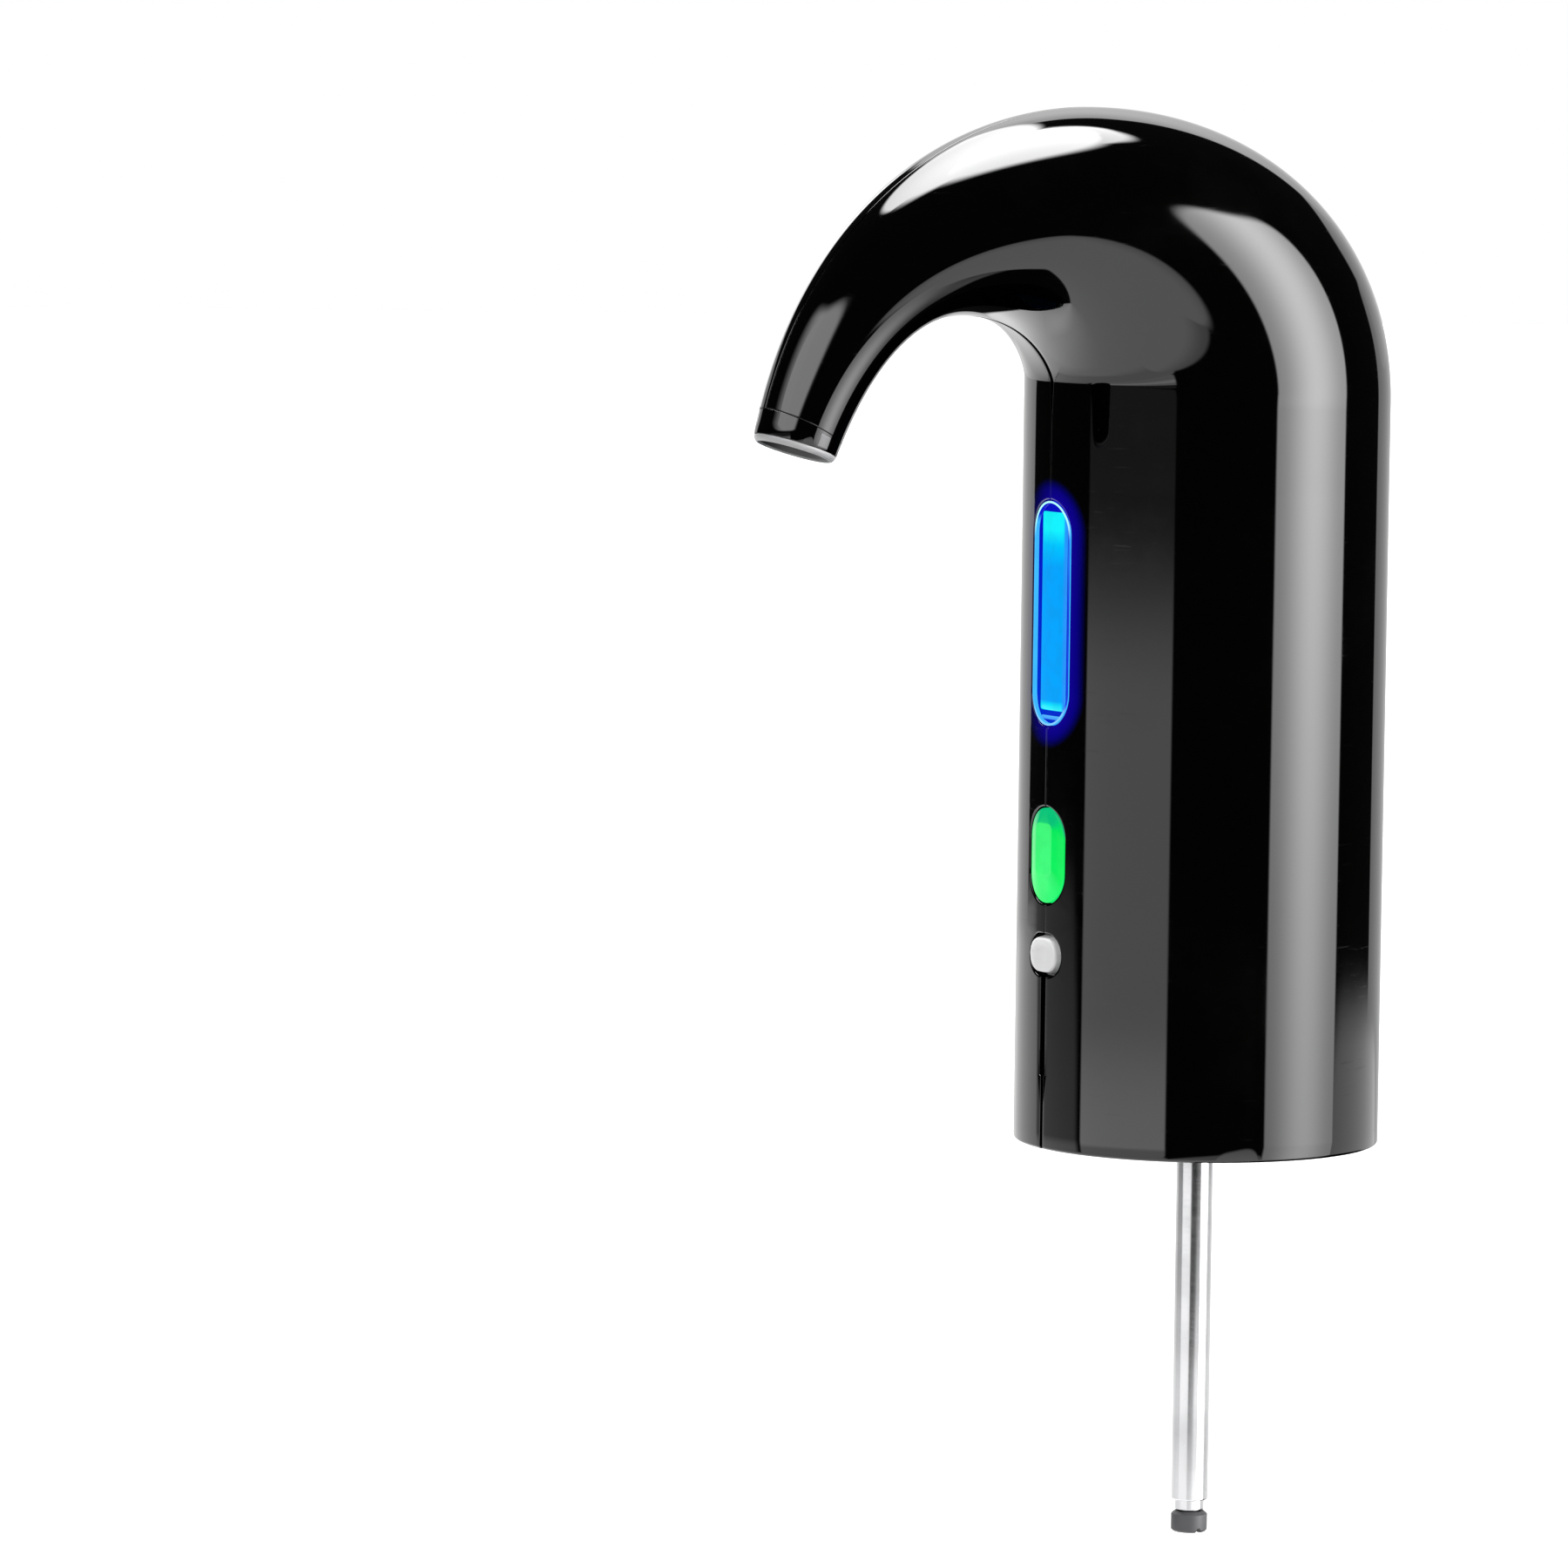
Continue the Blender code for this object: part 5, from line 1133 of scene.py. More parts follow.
@dataclass(frozen=True)
class Rounded:
    """A rounded rectangle seen from the front; with its corner at half its width it is a pill."""

    level: float
    width: float
    height: float
    corner: float
    middle: float = 0.0
    corner_steps: int = 12
    side_steps: int = 5

    def loop(self, inset: Array) -> Array:
        """Its outline moved inwards, as (x, z) with z in the model's frame.

        Each corner is an arc of the corner's radius less the inset, and each side is cut evenly.

        Args:
            inset: How far inwards each row lies, k; negative is outwards.

        Returns:
            Points, k by n by 2.
        """
        inset = np.asarray(inset, float)
        half = np.stack([self.width / 2 - inset, self.height / 2 - inset], axis=-1)
        corner = np.minimum(np.maximum(self.corner - inset, 0), half.min(axis=-1))[:, None]
        turn = np.arange(4)[:, None] * pi / 2 + np.linspace(0, pi / 2, self.corner_steps)
        sign = np.array([[1, 1], [-1, 1], [-1, -1], [1, -1]])
        middle = sign * (half - corner)[:, None]
        arc = middle[:, :, None] + corner[:, :, None, None] * np.stack([np.cos(turn), np.sin(turn)], -1)
        share = np.linspace(0, 1, self.side_steps + 2)[1:-1, None]
        side = arc[:, :, -1:] + (np.roll(arc[:, :, :1], -1, axis=1) - arc[:, :, -1:]) * share
        found = np.concatenate([arc, side], axis=2).reshape(len(inset), -1, 2)
        return found + [self.middle, self.level + RIM_Z]

    def on_front(self, rows: Outline) -> Array:
        """Rows of (inset, radius) set on round walls: y = -sqrt(radius^2 - x^2)."""
        inset, radius = np.array(rows).T
        plan = self.loop(inset)
        depth = -np.sqrt(radius[:, None] ** 2 - plan[..., 0] ** 2)
        return np.stack([plan[..., 0], depth, plan[..., 1]], axis=-1)

    def at_depth(self, rows: Outline) -> Array:
        """Rows of (inset, y) set on flat planes."""
        inset, depth = np.array(rows).T
        plan = self.loop(inset)
        return np.stack([plan[..., 0], depth[:, None] + 0 * plan[..., 0], plan[..., 1]], axis=-1)


def round_over(inset: float, radius: float, reach: float, rise: float, steps: int = 5) -> Outline:
    """A rounded edge as (inset, radius) rows: a quarter ellipse from the wall up to the face.

    Args:
        inset: Where the wall stands.
        radius: The face's radius.
        reach: How far inwards the round runs.
        rise: How far below the face it starts.
        steps: Rows on the round.

    Returns:
        The rows, wall first.
    """
    turn = np.linspace(0, pi / 2, steps)
    return list(zip(inset + reach * (1 - np.cos(turn)), radius - rise * (1 - np.sin(turn))))


@dataclass
class Controls:
    """The lit window, the two buttons with their posts, and what shows of them."""

    face: float = BODY_RADIUS
    flange_radius: float = 0.0324
    flange_margin: float = 0.0012
    flange_back: float = -0.0314
    lip: float = 0.00038
    floor: float = 0.00090
    window: Rounded = Rounded(0.1022, 0.0125, 0.0426, 0.00625)
    bar: Rounded = Rounded(0.10259, 0.00870, 0.0377, 0.0006, middle=0.0003)
    low_bar: Rounded = Rounded(0.08240, 0.0068, 0.0007, 0.00034)
    pour: Rounded = Rounded(0.0562, 0.0116, 0.0181, 0.0058)
    plateau: Rounded = Rounded(0.0574, 0.0057, 0.0100, 0.0013)
    power: Rounded = Rounded(0.0372, 0.0102, 0.0076, 0.0038)
    post_radius: float = 0.0015
    pour_post_end: float = -0.02825
    power_post_end: float = -0.02805

    def _flanged(self, form: Rounded, rows: Outline) -> Array:
        """A cap's rows, from its flange's flat back out to the visible (inset, radius) rows.

        Args:
            form: The cap's outline.
            rows: The visible rows from the wall's foot up.

        Returns:
            Points, rows by n by 3.
        """
        margin, back = -self.flange_margin, self.flange_back
        flat = form.at_depth([(margin + 0.0002, back), (margin, back - 0.0001)])
        front = form.on_front([(margin, self.flange_radius), (0.0, self.flange_radius), *rows])
        return np.concatenate([flat, front])

    def _capped(self, form: Rounded, rows: Outline) -> Skin:
        """A cap with its flange, whose face is closed by rings that shrink to its middle line."""
        inset, radius = rows[-1]
        rings = np.linspace(inset, min(form.width, form.height) / 2, 7)[1:]
        grid = self._flanged(form, [*rows, *((ring, radius) for ring in rings)])
        return Skin().sheet(grid, around=True).cap(grid[0])

    def _post(self, skin: Skin, level: float, end: float) -> None:
        """The post behind a button, with a rounded foot where it meets its switch."""
        front, back, radius = 0.0004, self.flange_back - end, self.post_radius
        place = Place((0, self.flange_back, level + RIM_Z), (0, -1, 0))
        skin.turn([(0, front), (radius, front), (radius, back), (0, back)], place, 32, 0.0003, closed=False)

    def build(self) -> None:
        """Builds and dresses every control."""
        face, level = self.face, self.face - self.floor
        lip = round_over(0.0, face, 0.00012, 0.00012)
        inner = [(self.lip - inset, radius) for inset, radius in lip[::-1]]
        rows = [*lip, *inner, (self.lip + 0.00004, level + 0.0001), (self.lip + 0.00012, level)]
        light = WindowLight(self.window.level + RIM_Z, self.window.height / 2)
        keep("window_frame", self._capped(self.window, rows), light, "window_lens")
        self._bars()
        self._pour_cap()
        edge = round_over(0.0005, face + 0.00065, 0.0007, 0.0008, 7)
        rows = [(0.0003, face - 0.0009), *edge, (0.0016, face + 0.00082), (0.0024, face + 0.0009)]
        skin = self._capped(self.power, rows)
        self._post(skin, self.power.level, self.power_post_end)
        white = Moulded((0.78, 0.78, 0.785), 0.25, 0.000002, 1800.0)
        keep("power_cap", skin, white, "power_button", "power_key")

    def _bars(self) -> None:
        """The lit slab in the window and the thin light line under it."""
        face, foot = self.face - 0.00072, self.face - 0.0012
        cyan, azure = rgb(20, 243, 255), rgb(5, 165, 255)
        slab = (
            (0.0, cyan),
            (0.028, rgb(15, 225, 255)),
            (0.05, azure),
            (0.72, azure),
            (0.83, rgb(0, 195, 255)),
            (0.91, cyan),
            (1.0, cyan),
        )
        thin = ((0.0, rgb(60, 150, 255)), (1.0, rgb(90, 190, 255)))
        for name, form, edge, stages, sides in (
            ("window_bar", self.bar, 0.0003, slab, rgb(40, 150, 255)),
            ("window_low_bar", self.low_bar, 0.00012, thin, None),
        ):
            half = min(form.width, form.height) / 2
            back = [(inset, foot) for inset in np.linspace(half, 0.0, 6)]
            rings = [(inset, face) for inset in np.linspace(edge, half, 6)[1:]]
            rows = [*back, (0.0, foot), *round_over(0.0, face, edge, edge), *rings]
            low = form.level + RIM_Z - form.height / 2
            light = LitPlastic(low, low + form.height, stages, sides, form.width / 2 - 0.0001)
            keep(name, Skin().sheet(form.on_front(rows), around=True), light)

    def _pour_cap(self) -> None:
        """The green cap: broad facets run from its pill outline up to a raised plateau."""
        edge = self._flanged(self.pour, round_over(0.0, self.face - 0.0001, 0.0002, 0.0002))
        top = self.plateau.at_depth([(0.0, -self.face - 0.00035)])
        facet = edge[-1] + (top - edge[-1]) * np.array([0.5, 0.96])[:, None, None]
        insets = (0.0001, 0.0003, 0.001, 0.002, self.plateau.width / 2)
        flat = self.plateau.at_depth([(inset, -self.face - 0.00036) for inset in insets])
        skin = Skin().sheet(np.concatenate([edge, facet, flat]), around=True).cap(edge[0])
        self._post(skin, self.pour.level, self.pour_post_end)
        low = self.pour.level + RIM_Z - self.pour.height / 2
        light = FacetLight(low, low + self.pour.height)
        keep("pour_cap", skin, light, "pour_button", "pour_key", 12.0)


# Base, stopper and tubes


@dataclass
class Base:
    """The cover with the bottle socket, its four screws, the lip's gasket and the ribbed stopper."""

    cover_radius: float = 0.0325
    cover_foot: float = -0.0265
    cover_top: float = -0.0243
    socket_radius: float = 0.0165
    socket_outer: float = 0.0183
    mouth_flare: float = 0.0009
    ceiling: float = 0.0023
    ceiling_top: float = 0.0045
    bore: float = 0.0059
    hole_gap: float = 0.0003
    head_radius: float = 0.0026
    head_height: float = 0.0014
    shank_radius: float = 0.0012
    shank_length: float = 0.0080
    thread_pitch: float = 0.0006
    cross_arm: float = 0.0015
    cross_width: float = 0.00042
    cross_depth: float = 0.0009

    def places(self) -> Outline:
        """The four screws' places, left half first, the front one of each half first."""
        angles = np.radians(BOSS_ANGLES)
        return [(side * BOSS_CIRCLE * cos(a), BOSS_CIRCLE * sin(a)) for side in (-1, 1) for a in angles]

    def cover(self) -> None:
        """The cover: a turned shell whose screw holes are cut with stepped cutters."""
        outline = [
            (self.socket_outer, self.ceiling_top),
            (self.socket_outer, self.cover_top),
            (self.cover_radius, self.cover_top),
            (self.cover_radius, self.cover_foot),
            (self.socket_radius + self.mouth_flare, self.cover_foot),
            (self.socket_radius, self.cover_foot + 0.0012),
            (self.socket_radius, self.ceiling),
            (self.bore, self.ceiling),
            (self.bore, self.ceiling_top),
        ]
        wide, narrow = self.head_radius + self.hole_gap, self.shank_radius + self.hole_gap
        foot, top = -0.035, self.cover_top + 0.003
        step = self.cover_foot + self.head_height + self.hole_gap
        hole = [(0, top), (narrow, top), (narrow, step), (wide, step), (wide, foot), (0, foot)]
        holes = [Skin().turn(hole, Place((x, y, 0.0)), 40, 0.00001, closed=False) for x, y in self.places()]
        mesh = cut(Skin().turn(outline, sides=128, reach=0.0004), holes)
        satin = Moulded((0.012, 0.012, 0.013), 0.42, 0.00002, 1500.0)
        keep("socket_cover", mesh, satin, "bottom_cover")

    def screw(self, number: int, x: float, y: float) -> None:
        """A pan screw with a cross recess and a fine thread.

        The head's top is a height over a polar grid: its round less the recess, which is deep where
        both the distance along an arm and the distance across it are small. The shank's radius is
        the thread's middle plus a triangle wave of (height / pitch - angle / full turn).

        Args:
            number: The screw's number.
            x: Its place.
            y: Its place.
        """
        turn = np.arange(64) * pi / 32
        radius = np.linspace(0, self.head_radius - 0.0002, 22)[:, None]
        dome = self.head_height - 0.0003 * (radius / self.head_radius) ** 2
        u, v = np.abs(radius * np.cos(turn)), np.abs(radius * np.sin(turn))

        def arm(along: Array, across: Array) -> Array:
            """How deep an arm of the recess is at a point, 0 to 1."""
            width = np.clip((self.cross_width - across) / 0.00012 + 0.5, 0, 1)
            return width * np.clip((self.cross_arm - along) / 0.0005, 0, 1)

        head = dome - self.cross_depth * np.maximum(arm(u, v), arm(v, u))
        rim = np.array([[0.0, self.head_height - 0.0006], [0.0, 0.0001], [-0.0001, 0.0]])
        thread = self.shank_length - 0.0009
        height = np.linspace(0, thread, 64)[:, None]
        wave = np.abs((height / self.thread_pitch - turn / (2 * pi)) % 1 - 0.5) * 2
        shank = (self.shank_radius - 0.00022) + 0.0002 * wave
        taper = np.linspace(1, 0, 5)[1:, None]
        shank = np.vstack([shank, shank[-1] * taper])
        height = np.vstack([height, self.shank_length - 0.0009 * taper])
        place = Place((x, y, self.cover_foot + self.head_height), (0, 0, -1))
        parts = ((radius, head), (self.head_radius + rim[:, :1], rim[:, 1:]), (shank, -height))
        grid = np.concatenate([place.points(wide, high, turn) for wide, high in parts])
        skin, steel = Skin().sheet(grid, around=True), FINISHES["zinc_steel"]
        keep(f"cross_screw_{number}", skin, steel, f"cover_screw_{number}", sharp=40.0)

    def gasket(self) -> None:
        """The ring that the bottle's lip seats on, with two fine sealing ribs on its underside."""
        inner, outer, thick, low, rib = 0.0108, 0.0160, 0.0020, 0.00025, 0.0005
        outline = [(outer, thick), (outer, low)]
        for middle in (0.0146, 0.0122):
            outline += [(middle + rib, low), (middle, 0.0), (middle - rib, low)]
        outline += [(inner, low), (inner, thick)]
        soft = Moulded((0.085, 0.085, 0.092), 0.55, 0.00001, 1600.0, sheen=0.15)
        keep("lip_gasket", Skin().turn(outline, reach=0.0003), soft, "seat_gasket")

    def stopper(self) -> None:
        """The tapered stopper with four soft ribs, each a bell added to the taper's radius."""
        top, tip, count, rib, floor = 0.0020, -0.0240, 4, 0.0014, -0.0143
        wide, narrow, bore, stem = 0.0088, 0.0078, 0.0038, 0.0058
        height = np.linspace(top, tip + 0.0006, 150)
        pitch = -tip / (count + 1)
        radius = wide + (narrow - wide) * np.clip(np.clip(height / tip, 0, 1) - 0.8, 0, 1) / 0.2
        for number in range(count):
            level = -pitch * (number + 0.5)
            radius = radius + rib * np.exp(-(((height - level) / (pitch * 0.20)) ** 2))
        outline = [*zip(radius, height), (narrow - 0.0007, tip), (bore, tip)]
        outline += [(bore, floor), (stem, floor), (stem, top)]
        soft = Moulded((0.085, 0.085, 0.092), 0.52, 0.000012, 1400.0, sheen=0.15)
        keep("ribbed_stopper", Skin().turn(outline, reach=0.0002), soft, "neck_stopper")

    def build(self) -> None:
        """Builds and dresses the base."""
        self.cover()
        for number, (x, y) in enumerate(self.places()):
            self.screw(number + 1, x, y)
        self.gasket()
        self.stopper()


@dataclass
class DipTube:
    """The telescopic tube: three brushed stages with rolled ends, and the foot on the last."""

    wall: float = 0.0005
    outer_radius: float = 0.0035
    middle_radius: float = 0.0028
    inner_radius: float = 0.0021
    foot_tip: float = -0.1043
    foot_top: float = -0.1003
    foot_shelf: float = -0.1023
    foot_slot: float = 0.0010

    def build(self) -> None:
        """Builds and dresses every stage."""
        for name, radius, top, foot, body in (
            ("tube_outer", self.outer_radius, 0.0065, -0.0980, ROOT),
            ("tube_middle", self.middle_radius, 0.0045, -0.1000, "middle_stage"),
            ("tube_inner", self.inner_radius, 0.0045, -0.1020, "inner_stage"),
        ):
            inner = radius - self.wall
            outline = [(radius, top), (radius, foot), (inner, foot), (inner, top)]
            skin = Skin().turn(outline, sides=64, reach=0.00022)
            keep(f"{name}_stage", skin, FINISHES["stainless"], name, body)
        self._foot()

    def _foot(self) -> None:
        """The foot: a turned tip whose mouth is notched right across, so that it can't seal."""
        outer, tip, shelf = self.outer_radius, self.foot_tip, self.foot_shelf
        bore, sleeve = self.inner_radius - self.wall, self.inner_radius + 0.0001
        outline = [(self.middle_radius, self.foot_top), (outer, self.foot_top - 0.0006)]
        outline += [(outer, tip + 0.0004), (outer - 0.0004, tip), (bore, tip)]
        outline += [(bore, shelf), (sleeve, shelf), (sleeve, self.foot_top)]
        half, low, high = self.foot_slot / 2, tip - 0.002, tip + self.foot_slot
        arch = [(half, high - half), (half * 0.7, high - half * 0.3), (0, high)]
        arch += [(-half * 0.7, high - half * 0.3), (-half, high - half)]
        slot = np.array([(-half, low), (half, low), *arch])
        ends = [np.insert(slot, 0, x, axis=1) for x in (-0.006, 0.006)]
        notch = Skin().sheet(np.stack(ends), around=True).cap(ends[0]).cap(ends[1])
        mesh = cut(Skin().turn(outline, sides=64, reach=0.0001), [notch])
        soft = Moulded((0.075, 0.075, 0.080), 0.5, 0.00001, 1800.0)
        keep("tube_tip", mesh, soft, "tube_foot", "inner_stage")


@dataclass
class SpoutTip:
    """The ring at the spout's tip: its black skirt, pale end and keys, and the nozzle in it, whose near-black flare
    lines the end's bore as painted shade.
    """

    casing: Casing
    skirt: float = 0.0004
    face_length: float = 0.0012
    face_bore: float = 0.0069
    face_depth: float = 0.0030
    nozzle_outer: float = 0.0047
    nozzle_wall: float = 0.0012
    nozzle_length: float = 0.0140
    nozzle_recess: float = 0.0015
    key: Rounded = Rounded(0.0016 - RIM_Z, 0.0026, 0.0027, 0.0003)
    key_turn: float = 82.0

    def _around(self, distance: Array, angle: Array, radius: Array) -> Array:
        """Points round the spout's middle line.

        Args:
            distance: How far back from the tip each point lies.
            angle: Its angle from the inner rail, in radians.
            radius: Its radius; zero or less is measured inwards from the casing's own.

        Returns:
            Points, in the arrays' shape by 3.
        """
        shape = np.broadcast_shapes(distance.shape, angle.shape, radius.shape)
        distance, angle, given = (np.broadcast_to(a, shape).ravel() for a in (distance, angle, radius))
        middle, toward, full = self.casing.section(1, self.casing.share_at(distance))
        size = np.where(given > 0, given, full + given)
        ahead = middle + toward * (size * np.cos(angle))[:, None]
        points = np.stack([size * np.sin(angle), -ahead[:, 0], ahead[:, 1] + RIM_Z], axis=-1)
        return points.reshape(*shape, 3)

    def _skirt(self) -> Skin:
        """The black skirt, rows of (distance back from the tip, inset) swept round the tip."""
        length, skirt, fine = self.casing.collar_length, self.skirt, 0.00006
        outer = [(length, -fine), (length - fine, 0.0), (length / 2, 0.0), (0.00012, 0.0)]
        mouth = [(0.00003, -0.00004), (0.0, -0.00012), (0.0, 0.00005 - skirt)]
        rows = np.array([*outer, *mouth, (0.0001, -skirt), (length, -skirt)])
        turn = np.arange(128)[None] * pi / 64
        return Skin().sheet(self._around(rows[:, :1], turn, rows[:, 1:] - 0.00001), around=True, ends=True)

    def _key(self, side: int) -> Skin:
        """A key on the skirt: a rounded tile a hair proud of it, bent round the tip."""
        half, sunk, proud = self.key.width / 2, -0.0003, 0.00012
        rows = [(inset, sunk) for inset in (*np.linspace(half, 0, 6), 0.0)]
        rows += [*round_over(0.0, proud, 0.0002, 0.0002), (0.0006, proud), (0.0010, proud), (half, proud)]
        inset, rise = np.array(rows).T
        plan = self.key.loop(inset)
        angle = side * (radians(self.key_turn) + plan[..., 0] / self.casing.tip_radius)
        radii = self.casing.section(1, self.casing.share_at(plan[..., 1].ravel()))[2]
        grid = self._around(plan[..., 1], angle, radii.reshape(angle.shape) + rise[:, None])
        return Skin().sheet(grid, around=True)

    def build(self) -> None:
        """Builds and dresses the tip."""
        keep("tip_collar", self._skirt(), GlossShell(), "spout_collar")
        slope = radians(self.casing.tip_slope)
        tip = (0.0, -self.casing.tip[0], self.casing.tip[1] + RIM_Z)
        place = Place(tip, (0.0, -cos(slope), -sin(slope)))
        wide, bore, depth, length = self.casing.tip_radius, self.face_bore, self.face_depth, self.face_length
        seat, fine, step = 0.00003, 0.00005, 0.0002
        outline = [(wide - self.skirt - fine, -depth), (wide - self.skirt - fine, seat), (wide - fine, seat)]
        outline += [(wide - step, length * 0.5), (wide - 0.0007, length), (bore + step, length)]
        outline += [(bore, length - step), (bore, -depth)]
        grey = Moulded((0.40, 0.40, 0.405), 0.28, 0.000003, 1800.0)
        darker = Moulded((0.11, 0.11, 0.113), 0.34, 0.000003, 1800.0)
        keep("tip_face", Skin().turn(outline, place, 128, 0.0003), grey)
        for name, side in (("tip_key_left", -1), ("tip_key_right", 1)):
            keep(name, self._key(side), darker)
        # Painted shade over a real part: the nozzle flares out to line the end's bore nearly to its front, and its
        # near-black colour stands in for the shade in the hollow round the outlet.
        outer, inner = self.nozzle_outer, self.nozzle_outer - self.nozzle_wall
        back, front = -self.nozzle_recess - self.nozzle_length, length - 0.0003
        outline = [(outer, back), (outer, -depth - 0.0003), (bore - 0.0001, -depth + 0.0009)]
        outline += [(bore - 0.0001, front), (bore - 0.0004, front), (inner, -depth), (inner, back)]
        soft = Moulded((0.003, 0.003, 0.0035), 0.5, 0.000006, 2000.0)
        nozzle = Skin().turn(outline, place, 64, 0.0004)
        keep("nozzle_ring", nozzle, soft, "outlet_nozzle")


# Charging port and the pieces inside


@dataclass
class Inside:
    """The charging port's shell and tongue, and finishes for the CAD nodes that stay as they are."""

    port: Rounded = Rounded(0.0435, 0.0090, 0.0034, 0.0017)
    mouth: float = 0.0342
    back: float = 0.0252
    floor: float = 0.0258
    port_wall: float = 0.0004
    tongue: Rounded = Rounded(0.0435, 0.0066, 0.0007, 0.0001)
    tongue_mouth: float = 0.0334

    def _port(self) -> Skin:
        """The shell: rows of (inset, y) from the back's middle line, out, forward, in and back."""
        half, wall, back, mouth = self.port.height / 2, self.port_wall, self.back, self.mouth
        small, fine, tiny = 0.0001, 0.00006, 0.00003
        rows = [(half, back), (2 * small, back), (fine, back + fine), (0.0, back + 2 * small)]
        rows += [(0.0, mouth - small), (tiny, mouth - tiny), (small, mouth)]
        rows += [(wall - small, mouth), (wall - tiny, mouth - tiny), (wall, mouth - small)]
        rows += [(wall, self.floor), (half, self.floor)]
        return Skin().sheet(self.port.at_depth(rows), around=True)

    def _tongue(self) -> Skin:
        """The tongue: a thin plate from the shell's floor, rounded at its free end."""
        half, foot, length = self.tongue.height / 2, self.floor - 0.0002, 0.00025
        edge = round_over(0.0, self.tongue_mouth, 0.0002, length)
        rows = [(half, foot), (0.0, foot), *edge, (half, self.tongue_mouth)]
        return Skin().sheet(self.tongue.at_depth(rows), around=True)

    @staticmethod
    def _finish(name: str, slot: str) -> Finish:
        """The finish of a CAD node.

        Args:
            name: The node.
            slot: The record's slot that it has.

        Returns:
            The finish.
        """
        low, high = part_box(name)
        if "_lamp" in name:
            return Diode((low[2] + high[2]) / 2)
        if slot == "cell_wrap":
            return Wrapped(low[2], high[2])
        return FINISHES.get(name) or FINISHES[slot]

    def build(self) -> None:
        """Builds the port and dresses every CAD node that no piece stands for."""
        steel = Brushed((0.52, 0.52, 0.54), 0.26, 3400.0)
        keep("charge_shell", self._port(), steel, "charge_socket")
        keep("charge_tongue", self._tongue(), Contacts())
        for name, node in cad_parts.items():
            if node.hide_render:
                continue
            finish = self._finish(name, node.material_slots[0].name)
            for slot in node.material_slots:
                slot.material = finish.material(f"{name}_finish")
            LOG.info("%s: %s", name, type(finish).__name__)


# Studio


def direction(azimuth: float, height: float) -> Point:
    """The unit direction at an azimuth and a height in degrees; azimuth 0 is the front, -y."""
    a, e = radians(azimuth), radians(height)
    return sin(a) * cos(e), -cos(a) * cos(e), sin(e)


@dataclass(frozen=True)
class Panel:
    """A soft panel of the studio, in degrees of azimuth and of height above the horizon.

    Its light falls from 1 to 0 across the line where (a / half width)^n + (h / half height)^n is 1.
    Each dim (height a, height b, share) eases the light from the share at a up to all of it at b.
    Lean moves the panel aside with its height, and rise lifts it with its azimuth.
    """

    azimuth: tuple[float, float]
    height: tuple[float, float]
    light: float
    corner: float = 8.0
    soft: float = 0.05
    dims: tuple[tuple[float, float, float], ...] = ()
    dim_sides: float = 0.0
    lean: float = 0.0
    rise: float = 0.0

    def share(self, bench: Bench, azimuth: Socket, height: Socket) -> Socket:
        """The panel's light at a direction.

        Args:
            bench: The world's bench.
            azimuth: The direction's azimuth in degrees.
            height: Its height in degrees.

        Returns:
            The light's socket.
        """
        (left, right), (low, high) = self.azimuth, self.height
        middle, level = (left + right) / 2, (low + high) / 2
        lean = bench.line(height, self.lean, middle - level * self.lean)
        away = bench.math("WRAP", bench.math("SUBTRACT", azimuth, lean), 180.0, -180.0)
        above = bench.math("SUBTRACT", bench.math("SUBTRACT", height, level), bench.times(away, self.rise))
        across, along = (
            bench.math("DIVIDE", bench.math("ABSOLUTE", offset), reach)
            for offset, reach in ((away, (right - left) / 2), (above, (high - low) / 2))
        )
        powers = (bench.math("POWER", part, self.corner) for part in (across, along))
        edge = bench.math("POWER", bench.math("ADD", *powers), 1 / self.corner)
        seen = bench.ramp(edge, 1 - self.soft, 1 + self.soft, self.light, 0.0)
        for start, end, rest in self.dims:
            seen = bench.times(seen, bench.ramp(height, start, end, rest, 1.0))
        if self.dim_sides:
            seen = bench.times(seen, bench.ramp(across, 0.0, 1.0, 1.0, 1 - self.dim_sides))
        return seen


@dataclass(frozen=True)
class Dome:
    """A round soft light overhead, in degrees."""

    azimuth: float
    height: float
    reach: float
    light: float
    soft: float

    def share(self, bench: Bench, way: Socket) -> Socket:
        """The light at a direction: full within the reach of the dome's middle, eased to none."""
        inputs = {0: way, 1: direction(self.azimuth, self.height)}
        cosine = bench.node("VectorMath", inputs, operation="DOT_PRODUCT").outputs["Value"]
        angle = bench.times(bench.math("ARCCOSINE", cosine), 180 / pi)
        return bench.ramp(angle, self.reach - self.soft, self.reach + self.soft, self.light, 0.0)


